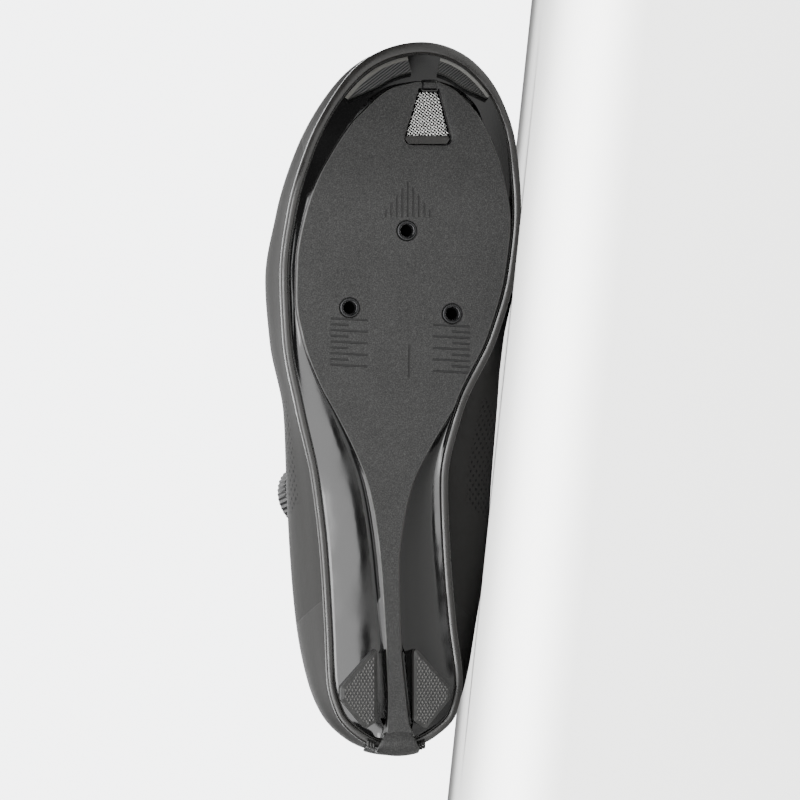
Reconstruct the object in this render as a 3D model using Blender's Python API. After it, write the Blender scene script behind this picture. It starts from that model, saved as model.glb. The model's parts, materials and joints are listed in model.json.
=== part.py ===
"""Right road cycling shoe, lying on its medial side with the sole towards -Y.

Metres, +Z up, floor at z = 0. The shoe is drawn in its own frame and laid down at the end:
in that frame x runs from heel to toe, +y is the medial side and z is height above the ground.
"""
import math

import bmesh
import bpy
from mathutils import Matrix, Vector
from mathutils.bvhtree import BVHTree
from mathutils.geometry import delaunay_2d_cdt

MM = 0.001

# Driving dimensions of the shoe
LENGTH = 265 * MM
BALL_WIDTH = 95 * MM
INSTEP_HEIGHT = 90 * MM
HEEL_HEIGHT = 80 * MM
TOE_BOX_HEIGHT = 50 * MM
ARCH_RISE = 6 * MM
TOE_SPRING = 17 * MM

# Upper, tongue and insole
UPPER_WALL = 2.5 * MM
LASTING_MARGIN = 7 * MM
BITE_INSET = 1.2 * MM
TONGUE_THICKNESS = 3 * MM
TONGUE_RISE = 20 * MM
INSOLE_THICKNESS = 2.5 * MM
INSOLE_CLEARANCE = 1 * MM
FIT_GAP = 0.3 * MM
LASTING_GAP = 0.4 * MM
TONGUE_GAP = 1.0 * MM

# Sole
SOLE_HEEL_SETBACK = 2 * MM
CHANNEL_DEPTH = 5.5 * MM
LIP_RISE = 3 * MM
HEEL_STACK = 12.5 * MM
EDGE_ROUND = 0.8 * MM
RIM_WIDTH = 2.8 * MM
RIM_STEP = 0.6 * MM
RIM_BEAD = 0.8 * MM
CHANNEL_MIN = 0.5 * MM
PLATE_STEP = 0.7 * MM
KEEL_WALL = 2 * MM

# Cleat inserts: three screws, the front one ahead of the rear pair
INSERT_DIAMETER = 7.3 * MM
SCREW_BORE = 4.7 * MM
INSERT_REAR_SETBACK = 29.5 * MM
INSERT_REAR_SPACING = 38 * MM
INSERT_LEAN = 1.1 * MM
INSERT_PROUD = 0.3 * MM

# Vent window
VENT_BACK_WIDTH = 17 * MM
VENT_FRONT_WIDTH = 6.5 * MM
VENT_LEDGE = 1.6 * MM
VENT_RECESS = 1.6 * MM
MESH_THICKNESS = 0.8 * MM

# Rubber pads
TOE_PAD_WIDTH = 6.4 * MM
TOE_PAD_PROUD = 2 * MM
TOE_PAD_GAP = 9.6 * MM
HEEL_PAD_LENGTH = 31 * MM
HEEL_PAD_WIDTH = 13.5 * MM
HEEL_PAD_SPLIT = 13.5 * MM
HEEL_PAD_BEVEL = 1.8 * MM
HEEL_PAD_CORNER = 3 * MM
HEEL_PAD_HEEL_STEP = 4.5 * MM
PAD_EDGE = 0.6 * MM
PAD_SEAT_GAP = 0.5 * MM

# Lace dial, guides and cord
DIAL_DIAMETER = 25 * MM
DIAL_HEIGHT = 6.5 * MM
DIAL_BASE_HEIGHT = 2.2 * MM
DIAL_BASE_RIM = 1 * MM
DIAL_SKIRT = 3 * MM
DIAL_CHAMFER = 1 * MM
SEAT_GAP = 0.5 * MM
GUIDE_LENGTH = 9 * MM
GUIDE_WIDTH = 6 * MM
GUIDE_HEIGHT = 2.6 * MM
GUIDE_SETBACK = 6 * MM
CORD_DIAMETER = 1.4 * MM
CORD_CLEARANCE = 0.9 * MM

# Heel tab
HEEL_TAB_THICKNESS = 1.1 * MM

# The medial contact spots are worn flat by this much
REST_FLAT = 0.4 * MM

# Places on the shoe, as shares of its length from the heel and of the ball width from its middle
INSERT_FRONT_ALONG = 0.734
INSERT_FRONT_ACROSS = 0.027
VENT_BACK_ALONG = 0.855
VENT_FRONT_ALONG = 0.932
VENT_ACROSS = 0.116
TOE_PAD_BACK_ALONG = 0.915
HEEL_PAD_FRONT_ALONG = 0.157
HEEL_PAD_ACROSS = -0.016
HEEL_PAD_SHOULDER_SHARE = 0.5
TOE_PAD_TAPER = 0.75
DIAL_ALONG = 0.362
DIAL_ACROSS = -0.247
GUIDES_ALONG = (0.45, 0.53, 0.61)
DIAL_GUIDE_ALONG = 0.385
TONGUE_BACK_ALONG = 0.35
TONGUE_FRONT_ALONG = 0.745

# Mesh fineness
STATIONS = 42
END_SHARE = 0.12
FILL_SPACING = 7 * MM
TOP_SPACING = 9 * MM
ROUND_SIDES = 20
PAD_SPACING = 3 * MM
CORD_SIDES = 8
CORD_POINTS = 9
TONGUE_TUCK_ROWS = 1
TONGUE_ARCH_ROWS = 6
TONGUE_COLUMNS = 11
HEEL_TAB_COLUMNS = 2
HEEL_TAB_ROWS = (2, 6)


def table(columns, rows):
    """Columns by name from a short table of rows."""
    return {name: [row[i] for row in rows] for i, name in enumerate(columns.split())}


# Plan outlines as shares of the ball width, and the widest line's height as a share of the instep height
OUTLINE = table("along  sole_lateral  sole_medial  lateral  medial  widest", [
    (0.00, -0.012, -0.012, -0.012, -0.012, 0.38),
    (0.02, -0.162, 0.156, -0.182, 0.157, 0.38),
    (0.05, -0.236, 0.233, -0.263, 0.241, 0.38),
    (0.10, -0.275, 0.259, -0.321, 0.298, 0.38),
    (0.18, -0.285, 0.234, -0.364, 0.342, 0.41),
    (0.28, -0.301, 0.213, -0.388, 0.387, 0.44),
    (0.38, -0.333, 0.204, -0.403, 0.409, 0.46),
    (0.48, -0.397, 0.260, -0.419, 0.428, 0.43),
    (0.58, -0.453, 0.384, -0.477, 0.443, 0.38),
    (0.67, -0.464, 0.454, -0.498, 0.485, 0.34),
    (0.76, -0.434, 0.479, -0.457, 0.501, 0.32),
    (0.85, -0.357, 0.464, -0.378, 0.477, 0.32),
    (0.92, -0.253, 0.411, -0.273, 0.415, 0.32),
    (0.97, -0.134, 0.316, -0.146, 0.315, 0.33),
    (1.00, 0.110, 0.110, 0.110, 0.110, 0.34),
])

# Sole heights: arch and spring lift the plate, channel and lip drop behind it, stack is up to the footbed
PROFILE = table("along  arch  spring  channel  lip  stack", [
    (0.00, 0.67, 0.00, 1.00, 0.85, 0.88),
    (0.11, 0.42, 0.00, 1.00, 0.90, 1.00),
    (0.23, 0.67, 0.00, 0.90, 0.95, 0.92),
    (0.36, 1.00, 0.00, 0.78, 1.00, 0.84),
    (0.49, 0.50, 0.00, 0.49, 0.85, 0.76),
    (0.585, 0.00, 0.00, 0.30, 0.65, 0.66),
    (0.68, 0.00, 0.00, 0.27, 0.60, 0.61),
    (0.77, 0.00, 0.00, 0.27, 0.60, 0.60),
    (0.87, 0.00, 0.25, 0.27, 0.55, 0.55),
    (0.94, 0.00, 0.62, 0.27, 0.50, 0.52),
    (1.00, 0.00, 1.00, 0.27, 0.50, 0.48),
])

# The raised plate: a teardrop under the forefoot that narrows to a keel, as shares of the ball width
PLATE = table("along  lateral  medial  wall", [
    (0.020, -0.078, 0.078, 0.2),
    (0.035, -0.045, 0.050, 0.2),
    (0.077, -0.039, 0.027, 0.2),
    (0.148, -0.047, 0.007, 0.3),
    (0.204, -0.055, 0.002, 0.8),
    (0.267, -0.066, 0.000, 1.0),
    (0.330, -0.086, 0.020, 1.0),
    (0.383, -0.118, 0.055, 0.8),
    (0.428, -0.168, 0.114, 0.5),
    (0.475, -0.235, 0.190, 0.2),
    (0.527, -0.314, 0.278, 0.0),
    (0.583, -0.373, 0.348, 0.0),
    (0.639, -0.400, 0.396, 0.0),
    (0.695, -0.396, 0.419, 0.0),
    (0.751, -0.368, 0.427, 0.0),
    (0.800, -0.321, 0.407, 0.0),
    (0.843, -0.255, 0.378, 0.0),
    (0.885, -0.173, 0.326, 0.0),
    (0.914, -0.090, 0.271, 0.0),
    (0.932, -0.020, 0.216, 0.0),
    (0.941, 0.078, 0.164, 0.0),
])

# Opening edge: half widths as shares of the ball width, height as shares of heel, instep or toe-box height
EDGE = table("along  lateral  medial  heel  instep  toe", [
    (0.020, 0.000, 0.000, 1.00, 0.00, 0.00),
    (0.045, 0.140, 0.142, 0.975, 0.00, 0.00),
    (0.090, 0.215, 0.225, 0.90, 0.00, 0.00),
    (0.160, 0.270, 0.280, 0.80, 0.00, 0.00),
    (0.230, 0.285, 0.295, 0.775, 0.00, 0.00),
    (0.285, 0.250, 0.285, 0.00, 0.76, 0.00),
    (0.330, 0.180, 0.250, 0.00, 0.90, 0.00),
    (0.365, 0.130, 0.190, 0.00, 0.98, 0.00),
    (0.400, 0.115, 0.145, 0.00, 1.00, 0.00),
    (0.460, 0.108, 0.120, 0.00, 0.965, 0.00),
    (0.550, 0.100, 0.110, 0.00, 0.875, 0.00),
    (0.640, 0.085, 0.095, 0.00, 0.785, 0.00),
    (0.690, 0.060, 0.070, 0.00, 0.735, 0.00),
    (0.720, 0.000, 0.000, 0.00, 0.705, 0.00),
    (0.800, 0.000, 0.000, 0.00, 0.00, 1.145),
    (0.870, 0.000, 0.000, 0.00, 0.00, 1.045),
    (0.920, 0.000, 0.000, 0.00, 0.00, 0.960),
])

# Centre line of the last, as shares of the ball width
CENTRE = table("along  middle", [
    (0.00, -0.012),
    (0.30, 0.000),
    (0.55, 0.000),
    (0.75, 0.030),
    (0.92, 0.088),
    (1.00, 0.110),
])

# Heel and toe ends of the upper's levels, as shares of the length
ENDS = table("level  heel  toe", [
    ("widest", 0.000, 0.9965),
    ("shoulder", 0.006, 0.975),
    ("edge", 0.020, 0.920),
])

# Where the levels between bite line, widest line and opening edge lie, out and up
LOW_OUT = 0.44
LOW_UP = 0.36
SHOULDER_OUT = 0.76
SHOULDER_UP = 0.72
ROWS_PER_LEVEL = (2, 2, 3, 3)

# Half width from which the opening counts as collar, as a share of the ball width
COLLAR_HALF = 0.2

# Free top of the tongue: how far back and up it is as shares of its rise, and how narrow on each side
TONGUE_TOP = table("back  up  lateral  medial", [
    (0.20, -0.04, 0.66, 0.74),
    (0.50, 0.16, 0.72, 0.76),
    (0.78, 0.42, 0.74, 0.76),
    (0.97, 0.66, 0.66, 0.68),
])


def curve(places, values):
    """A smooth curve through the rows that never overshoots them."""
    steps = [b - a for a, b in zip(places, places[1:])]
    slopes = [(b - a) / step for a, b, step in zip(values, values[1:], steps)]
    tangents = [slopes[0]]
    for before, after in zip(slopes, slopes[1:]):
        tangents.append(2 * before * after / (before + after) if before * after > 0 else 0.0)
    tangents.append(slopes[-1])

    def at(place):
        place = min(max(place, places[0]), places[-1])
        i = max(k for k in range(len(steps)) if places[k] <= place)
        t = (place - places[i]) / steps[i]
        start = (1 + 2 * t) * (1 - t) ** 2 * values[i] + t * (1 - t) ** 2 * steps[i] * tangents[i]
        end = t * t * (3 - 2 * t) * values[i + 1] + t * t * (t - 1) * steps[i] * tangents[i + 1]
        return start + end

    return at


def turn(share):
    """Angle round an ellipse at this share of its long axis: it rounds the outline's ends."""
    return math.acos(1 - 2 * min(max(share, 0.0), 1.0))


def along_curve(source, name, scale):
    """A column of a table as a function of x."""
    at = curve(source["along"], source[name])
    return lambda x: scale * at(x / LENGTH)


def outline_curve(name):
    """A plan outline that closes roundly at heel and toe, as a function of its own share of the length."""
    at = curve([turn(share) for share in OUTLINE["along"]], OUTLINE[name])
    return lambda share: BALL_WIDTH * at(turn(share))


def station_share(i):
    """Share of the length at a station: close together at both ends and even between them."""
    u = i / STATIONS
    if u < END_SHARE:
        reached = u * u / (2 * END_SHARE)
    elif u > 1 - END_SHARE:
        reached = 1 - END_SHARE - (1 - u) ** 2 / (2 * END_SHARE)
    else:
        reached = u - END_SHARE / 2
    return reached / (1 - END_SHARE)


SHARES = [station_share(i) for i in range(STATIONS + 1)]
SIDES = [("lateral", i) for i in range(STATIONS + 1)]
SIDES += [("medial", i) for i in range(STATIONS - 1, 0, -1)]


def plan_loop(lateral, medial, start, end):
    """Counter-clockwise plan outline: the lateral side from heel to toe, then the medial side back."""
    sides = {"lateral": lateral, "medial": medial}
    return [Vector((start + (end - start) * SHARES[i], sides[side](SHARES[i]))) for side, i in SIDES]


def offset_loop(loop, distance):
    """The loop moved outwards by a distance, point by point."""
    moved = []
    for k, point in enumerate(loop):
        along = loop[(k + 1) % len(loop)] - loop[k - 1]
        moved.append(point + distance * Vector((along.y, -along.x)).normalized())
    return moved


def spline(points, counts, before, after):
    """Rows of points along a smooth curve through the given levels."""
    knots = [before] + points + [after]
    rows = []
    for i, count in enumerate(counts):
        a, b, c, d = knots[i:i + 4]
        for n in range(count):
            t = n / count
            rows.append(0.5 * (2 * b + (c - a) * t + (2 * a - 5 * b + 4 * c - d) * t * t
                               + (3 * b - a - 3 * c + d) * t ** 3))
    return rows + [points[-1]]


# Sole surface

plate_arch = along_curve(PROFILE, "arch", ARCH_RISE)
plate_spring = along_curve(PROFILE, "spring", TOE_SPRING)
channel_drop = along_curve(PROFILE, "channel", CHANNEL_DEPTH)
lip_rise = along_curve(PROFILE, "lip", LIP_RISE)
stack = along_curve(PROFILE, "stack", HEEL_STACK)
centre_line = along_curve(CENTRE, "middle", BALL_WIDTH)

SOLE_OUTLINE = plan_loop(outline_curve("sole_lateral"), outline_curve("sole_medial"),
                         SOLE_HEEL_SETBACK, LENGTH)


def plate_height(x):
    return plate_arch(x) + plate_spring(x)


def footbed(x):
    return plate_height(x) + stack(x)


def distance_to(point, loop):
    """Shortest distance from a plan point to a closed loop."""
    best = None
    for k, a in enumerate(loop):
        b = loop[(k + 1) % len(loop)]
        along = b - a
        t = min(max((point - a).dot(along) / along.length_squared, 0.0), 1.0)
        reach = (point - a - along * t).length
        best = reach if best is None else min(best, reach)
    return best


def inside(point, loop):
    """Whether a plan point lies inside a closed loop."""
    hit = False
    for k, a in enumerate(loop):
        b = loop[(k + 1) % len(loop)]
        if (a.y > point.y) != (b.y > point.y):
            if point.x < a.x + (point.y - a.y) * (b.x - a.x) / (b.y - a.y):
                hit = not hit
    return hit


def plate_outline():
    """Edge of the raised plate, kept clear of the rim, and the width of its side wall at each point."""
    lateral = along_curve(PLATE, "lateral", BALL_WIDTH)
    medial = along_curve(PLATE, "medial", BALL_WIDTH)
    wall = along_curve(PLATE, "wall", KEEL_WALL)
    clear = RIM_WIDTH + RIM_STEP + PLATE_STEP + CHANNEL_MIN
    rim = offset_loop(SOLE_OUTLINE, -clear)
    limit = {"lateral": [], "medial": []}
    for (side, _), point in zip(SIDES, rim):
        limit[side].append(point)
    start = max(PLATE["along"][0] * LENGTH, min(point.x for point in rim))
    end = min(PLATE["along"][-1] * LENGTH, max(point.x for point in rim))

    def edge(side, x):
        rows = sorted(limit[side] + [rim[0], rim[STATIONS]], key=lambda point: point.x)
        i = max(k for k in range(len(rows) - 1) if rows[k].x <= x or k == 0)
        t = min(max((x - rows[i].x) / max(rows[i + 1].x - rows[i].x, FIT_GAP), 0.0), 1.0)
        bound = rows[i].y + t * (rows[i + 1].y - rows[i].y)
        if side == "lateral":
            return max(lateral(x), bound)
        return min(medial(x), bound)

    places = [start + (end - start) * share for share in SHARES[2:-1]]
    loop = [Vector((x, edge("lateral", x))) for x in places]
    walls = [PLATE_STEP + wall(x) for x in places]
    loop += [Vector((x, edge("medial", x))) for x in reversed(places)]
    walls += [PLATE_STEP] * len(places)
    return loop, walls


PLATE_EDGE, PLATE_WALLS = plate_outline()


def plate_foot():
    """Foot of the plate's side wall, out in the channel."""
    foot = []
    for k, point in enumerate(PLATE_EDGE):
        along = PLATE_EDGE[(k + 1) % len(PLATE_EDGE)] - PLATE_EDGE[k - 1]
        foot.append(point + PLATE_WALLS[k] * Vector((along.y, -along.x)).normalized())
    return foot


PLATE_FOOT = plate_foot()


def channel_height(point):
    """Underside between plate and rim: it falls away from the plate and flattens towards the rim."""
    from_rim = max(distance_to(point, SOLE_OUTLINE) - RIM_WIDTH, 0.0)
    from_plate = distance_to(point, PLATE_FOOT)
    out = from_plate / max(from_rim + from_plate, FIT_GAP)
    return plate_height(point.x) + channel_drop(point.x) + lip_rise(point.x) * math.sin(out * math.pi / 2)


def rim_height(point):
    x = point.x
    return plate_height(x) + channel_drop(x) + lip_rise(x) - RIM_BEAD


# Mesh helpers

def link(name, vertices, faces, color, roughness, metallic=0.0, merge=False):
    """One named object with its own material."""
    mesh = bpy.data.meshes.new(name)
    mesh.from_pydata([tuple(v) for v in vertices], [], faces)
    if merge:
        bm = bmesh.new()
        bm.from_mesh(mesh)
        bmesh.ops.remove_doubles(bm, verts=bm.verts, dist=FIT_GAP / 100)
        bm.to_mesh(mesh)
        bm.free()
    mesh.shade_smooth()
    mesh.set_sharp_from_angle(angle=math.radians(35))
    material = bpy.data.materials.new(name)
    material.use_nodes = True
    shader = material.node_tree.nodes["Principled BSDF"]
    shader.inputs["Base Color"].default_value = (*color, 1.0)
    shader.inputs["Roughness"].default_value = roughness
    shader.inputs["Metallic"].default_value = metallic
    mesh.materials.append(material)
    piece = bpy.data.objects.new(name, mesh)
    bpy.context.collection.objects.link(piece)
    return piece


def triangulate(loops, holes, fill):
    """Triangles over a plan area: the first loop bounds it, the others and the holes are kept as edges."""
    points = []
    edges = []
    for loop in loops + holes:
        first = len(points)
        points += loop
        edges += [(first + k, first + (k + 1) % len(loop)) for k in range(len(loop))]
    points = points + fill
    found, _, faces, origin, _, _ = delaunay_2d_cdt([p.copy() for p in points], edges, [], 0, 1e-7)
    kept = []
    for face in faces:
        middle = sum((found[i] for i in face), Vector((0, 0))) / len(face)
        if inside(middle, loops[0]) and not any(inside(middle, hole) for hole in holes):
            kept.append([origin[i][0] for i in face])
    return points, kept


def fill_points(loops, spacing):
    """Points on a staggered grid inside the first loop, clear of all the loops."""
    low_x = min(p.x for p in loops[0])
    high_x = max(p.x for p in loops[0])
    low_y = min(p.y for p in loops[0])
    high_y = max(p.y for p in loops[0])
    points = []
    rows = int((high_x - low_x) / spacing) + 1
    columns = int((high_y - low_y) / spacing) + 2
    for i in range(rows):
        for j in range(columns):
            point = Vector((low_x + i * spacing, low_y + (j + 0.5 * (i % 2)) * spacing))
            if inside(point, loops[0]) and min(distance_to(point, loop) for loop in loops) > spacing * 0.45:
                points.append(point)
    return points


def strip(first, second, count, faces):
    """Quads between two closed loops of vertices."""
    for k in range(count):
        nxt = (k + 1) % count
        faces.append((first + k, first + nxt, second + nxt, second + k))


def grid_faces(rows, columns, wrap):
    """Quads over rows of vertices, wrapped round or open."""
    faces = []
    for r in range(rows - 1):
        for c in range(columns if wrap else columns - 1):
            nxt = (c + 1) % columns
            faces.append((r * columns + c, r * columns + nxt, (r + 1) * columns + nxt, (r + 1) * columns + c))
    return faces


def shell(vertices, faces, outer_gap, thickness):
    """A sheet given a thickness on the back of its faces, closed round its open edges."""
    bm = bmesh.new()
    made = [bm.verts.new(v) for v in vertices]
    for face in faces:
        bm.faces.new([made[i] for i in face])
    bmesh.ops.remove_doubles(bm, verts=bm.verts, dist=FIT_GAP / 100)
    bm.verts.index_update()
    bm.normal_update()
    front = [v.co - v.normal * outer_gap for v in bm.verts]
    back = [v.co - v.normal * (outer_gap + thickness) for v in bm.verts]
    count = len(front)
    closed = [[v.index for v in face.verts] for face in bm.faces]
    closed += [[v.index + count for v in reversed(face.verts)] for face in bm.faces]
    for edge in bm.edges:
        if edge.is_boundary:
            loop = edge.link_loops[0]
            a = loop.vert.index
            b = loop.link_loop_next.vert.index
            closed.append([b, a, a + count, b + count])
    bm.free()
    return front + back, closed


def stack_loops(loops):
    """A closed solid through a stack of like loops, with flat ends."""
    count = len(loops[0])
    vertices = [v for loop in loops for v in loop]
    faces = []
    for n in range(len(loops) - 1):
        strip(n * count, (n + 1) * count, count, faces)
    faces.append(list(reversed(range(count))))
    faces.append([(len(loops) - 1) * count + k for k in range(count)])
    return vertices, faces


def surface_of(piece):
    """Search tree over a finished piece, for seating others on it."""
    vertices = [v.co.copy() for v in piece.data.vertices]
    return BVHTree.FromPolygons(vertices, [tuple(p.vertices) for p in piece.data.polygons])


# Outsole

def circle(centre, radius, sides=ROUND_SIDES):
    """Round plan loop."""
    step = 2 * math.pi / sides
    return [centre + radius * Vector((math.cos(k * step), math.sin(k * step))) for k in range(sides)]


def insert_centres():
    """Front screw, lateral rear and medial rear screws; the rear pair leans a little."""
    front = Vector((INSERT_FRONT_ALONG * LENGTH, INSERT_FRONT_ACROSS * BALL_WIDTH))
    rear = front - Vector((INSERT_REAR_SETBACK, 2 * INSERT_LEAN))
    half = Vector((-INSERT_LEAN, INSERT_REAR_SPACING / 2))
    return [front, rear - half, rear + half]


def vent_loop(spread):
    """Trapezoid window, wider at the back."""
    back = VENT_BACK_ALONG * LENGTH - spread
    front = VENT_FRONT_ALONG * LENGTH + min(spread, VENT_LEDGE / 2)
    back_half = VENT_BACK_WIDTH / 2 + spread
    front_half = VENT_FRONT_WIDTH / 2 + spread
    corners = [(back, -back_half), (front, -front_half), (front, front_half), (back, back_half)]
    return [Vector((x, VENT_ACROSS * BALL_WIDTH + y)) for x, y in corners]


def build_outsole():
    """One moulding: rim bead, glossy channels and the raised plate with keel, bored for inserts and vent."""
    boundary = offset_loop(SOLE_OUTLINE, -EDGE_ROUND)
    crest = offset_loop(SOLE_OUTLINE, -RIM_WIDTH / 2)
    rim = offset_loop(SOLE_OUTLINE, -RIM_WIDTH)
    groove = offset_loop(SOLE_OUTLINE, -RIM_WIDTH - RIM_STEP)
    bores = [circle(centre, INSERT_DIAMETER / 2 + FIT_GAP) for centre in insert_centres()]
    window = vent_loop(0.0)
    recess = vent_loop(VENT_LEDGE)
    loops = [boundary, crest, rim, groove, PLATE_FOOT, PLATE_EDGE, recess]
    holes = bores + [window]
    fill = fill_points(loops + holes, FILL_SPACING)
    points, under = triangulate(loops, holes, fill)

    def under_height(k, point):
        first = 0
        for n, loop in enumerate(loops + holes):
            if k < first + len(loop):
                if n == 0:
                    return rim_height(point) + RIM_BEAD / 2
                if n in (1, 2):
                    return rim_height(point)
                if n in (3, 4):
                    return channel_height(point)
                if n == len(loops + holes) - 1:
                    return plate_height(point.x) + VENT_RECESS
                return plate_height(point.x)
            first += len(loop)
        return plate_height(point.x) if inside(point, PLATE_EDGE) else channel_height(point)

    vertices = [Vector((p.x, p.y, under_height(k, p))) for k, p in enumerate(points)]
    faces = [list(reversed(face)) for face in under]

    top_points, top = triangulate([boundary], holes, fill_points([boundary] + holes, TOP_SPACING))
    top_first = len(vertices)
    vertices += [Vector((p.x, p.y, footbed(p.x))) for p in top_points]
    faces += [[top_first + i for i in face] for face in top]

    side_first = len(vertices)
    count = len(SOLE_OUTLINE)
    vertices += [Vector((p.x, p.y, rim_height(p) + RIM_BEAD / 2 + EDGE_ROUND)) for p in SOLE_OUTLINE]
    vertices += [Vector((p.x, p.y, footbed(p.x) - EDGE_ROUND)) for p in SOLE_OUTLINE]
    strip(0, side_first, count, faces)
    strip(side_first, side_first + count, count, faces)
    strip(side_first + count, top_first, count, faces)

    low = sum(len(loop) for loop in loops)
    high = top_first + count
    for hole in holes:
        for k in range(len(hole)):
            nxt = (k + 1) % len(hole)
            faces.append((low + nxt, low + k, high + k, high + nxt))
        low += len(hole)
        high += len(hole)
    used = sorted({i for face in faces for i in face})
    place = {old: new for new, old in enumerate(used)}
    return link("outsole", [vertices[i] for i in used], [[place[i] for i in face] for face in faces],
                (0.028, 0.028, 0.027), 0.28)


# Upper

def opening_half(side):
    """Half width of the opening at x, with a round end at the heel."""
    start, end = EDGE["along"][0], EDGE["along"][-1]
    at = curve([turn((along - start) / (end - start)) for along in EDGE["along"]], EDGE[side])
    return lambda x: BALL_WIDTH * at(turn((x / LENGTH - start) / (end - start)))


def edge_loop():
    """Edge of collar and throat; ahead of the throat it is the ridge of the closed vamp."""
    heights = [heel * HEEL_HEIGHT + instep * INSTEP_HEIGHT + toe * TOE_BOX_HEIGHT
               for heel, instep, toe in zip(EDGE["heel"], EDGE["instep"], EDGE["toe"])]
    height = curve(EDGE["along"], heights)
    half = {side: opening_half(side) for side in ("lateral", "medial")}
    level = ENDS["level"].index("edge")
    start = ENDS["heel"][level] * LENGTH
    end = ENDS["toe"][level] * LENGTH
    loop = []
    for side, i in SIDES:
        x = start + (end - start) * SHARES[i]
        out = -1 if side == "lateral" else 1
        loop.append(Vector((x, centre_line(x) + out * half[side](x), height(x / LENGTH))))
    return loop


def level_loop(name, edge):
    """Widest line or shoulder line of the upper."""
    level = ENDS["level"].index(name)
    start = ENDS["heel"][level] * LENGTH
    end = ENDS["toe"][level] * LENGTH
    widest = curve(OUTLINE["along"], OUTLINE["widest"])
    sides = {"lateral": outline_curve("lateral"), "medial": outline_curve("medial")}
    loop = []
    for k, (side, i) in enumerate(SIDES):
        x = start + (end - start) * SHARES[i]
        y = sides[side](SHARES[i])
        z = INSTEP_HEIGHT * widest(SHARES[i])
        if name == "shoulder":
            y = edge[k].y + SHOULDER_OUT * (y - edge[k].y)
            z = z + SHOULDER_UP * (edge[k].z - z)
        loop.append(Vector((x, y, z)))
    return loop


def upper_rows():
    """Rows of the outer surface, from the lasting margin under the foot up to the opening."""
    bite_plan = offset_loop(SOLE_OUTLINE, -BITE_INSET)
    margin_plan = offset_loop(SOLE_OUTLINE, -BITE_INSET - LASTING_MARGIN)
    bite = [Vector((p.x, p.y, footbed(p.x) + LASTING_GAP)) for p in bite_plan]
    margin = [Vector((p.x, p.y, footbed(p.x) + LASTING_GAP)) for p in margin_plan]
    edge = edge_loop()
    widest = level_loop("widest", edge)
    shoulder = level_loop("shoulder", edge)
    columns = []
    for k in range(len(SIDES)):
        rise = widest[k] - bite[k]
        low = bite[k] + Vector((LOW_OUT * rise.x, LOW_OUT * rise.y, LOW_UP * rise.z))
        middle = centre_line(edge[k].x)
        open_half = abs(edge[k].y - middle)
        spread = min(open_half / (COLLAR_HALF * BALL_WIDTH), 1.0)
        across = Vector((shoulder[k].x, 2 * middle - shoulder[k].y, shoulder[k].z))
        onward = 2 * edge[k] - shoulder[k]
        after = across.lerp(onward, spread)
        before = 2 * bite[k] - low
        columns.append([margin[k]] + spline([bite[k], low, widest[k], shoulder[k], edge[k]],
                                            ROWS_PER_LEVEL, before, after))
    return [[column[r] for column in columns] for r in range(len(columns[0]))]


UPPER_ROWS = upper_rows()


def build_upper():
    """One hollow moulded shell, open at collar and throat and under the foot inside its lasting margin."""
    columns = len(SIDES)
    vertices = [v for row in UPPER_ROWS for v in row]
    faces = grid_faces(len(UPPER_ROWS), columns, wrap=True)
    shell_vertices, shell_faces = shell(vertices, faces, 0.0, UPPER_WALL)
    return link("upper", shell_vertices, shell_faces, (0.045, 0.044, 0.042), 0.55)


# Tongue and insole

def respaced(points, count):
    """The same line drawn with a number of evenly spaced points."""
    reached = [0.0]
    for a, b in zip(points, points[1:]):
        reached.append(reached[-1] + (b - a).length)
    line = []
    for n in range(count):
        goal = reached[-1] * n / (count - 1)
        i = max(k for k in range(len(points) - 1) if reached[k] <= goal and reached[k + 1] > reached[k])
        line.append(points[i].lerp(points[i + 1], (goal - reached[i]) / (reached[i + 1] - reached[i])))
    return line


def build_tongue():
    """A padded tongue under the throat, from the upper's own vault, that stands up out of the collar."""
    top = len(UPPER_ROWS) - 1
    edge = UPPER_ROWS[top]
    rows = []
    for k in range(STATIONS + 1):
        if TONGUE_BACK_ALONG * LENGTH < edge[k].x < TONGUE_FRONT_ALONG * LENGTH:
            mirror = (len(SIDES) - k) % len(SIDES)
            lateral = [UPPER_ROWS[top - n][k] for n in range(TONGUE_TUCK_ROWS, -1, -1)]
            medial = [UPPER_ROWS[top - n][mirror] for n in range(TONGUE_TUCK_ROWS + 1)]
            arch = spline([lateral[-1], medial[0]], (TONGUE_ARCH_ROWS,), lateral[-2], medial[1])
            rows.append(respaced(lateral + arch[1:-1] + medial, TONGUE_COLUMNS))
    back = rows[0]
    middle = back[len(back) // 2]
    lean = (middle - rows[1][len(back) // 2]).normalized()
    for n, back_share in enumerate(TONGUE_TOP["back"]):
        shift = lean * TONGUE_RISE * back_share + Vector((0, 0, TONGUE_RISE * TONGUE_TOP["up"][n]))
        row = []
        for v in back:
            narrow = TONGUE_TOP["lateral" if v.y < middle.y else "medial"][n]
            across = v - middle
            row.append(middle + shift + Vector((across.x, narrow * across.y, narrow * across.z)))
        rows.insert(0, row)
    vertices = [v for row in rows for v in row]
    faces = grid_faces(len(rows), TONGUE_COLUMNS, wrap=False)
    faces = [tuple(reversed(face)) for face in faces]
    made, closed = shell(vertices, faces, UPPER_WALL + TONGUE_GAP, TONGUE_THICKNESS)
    return link("tongue", made, closed, (0.03, 0.03, 0.03), 0.8)


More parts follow.
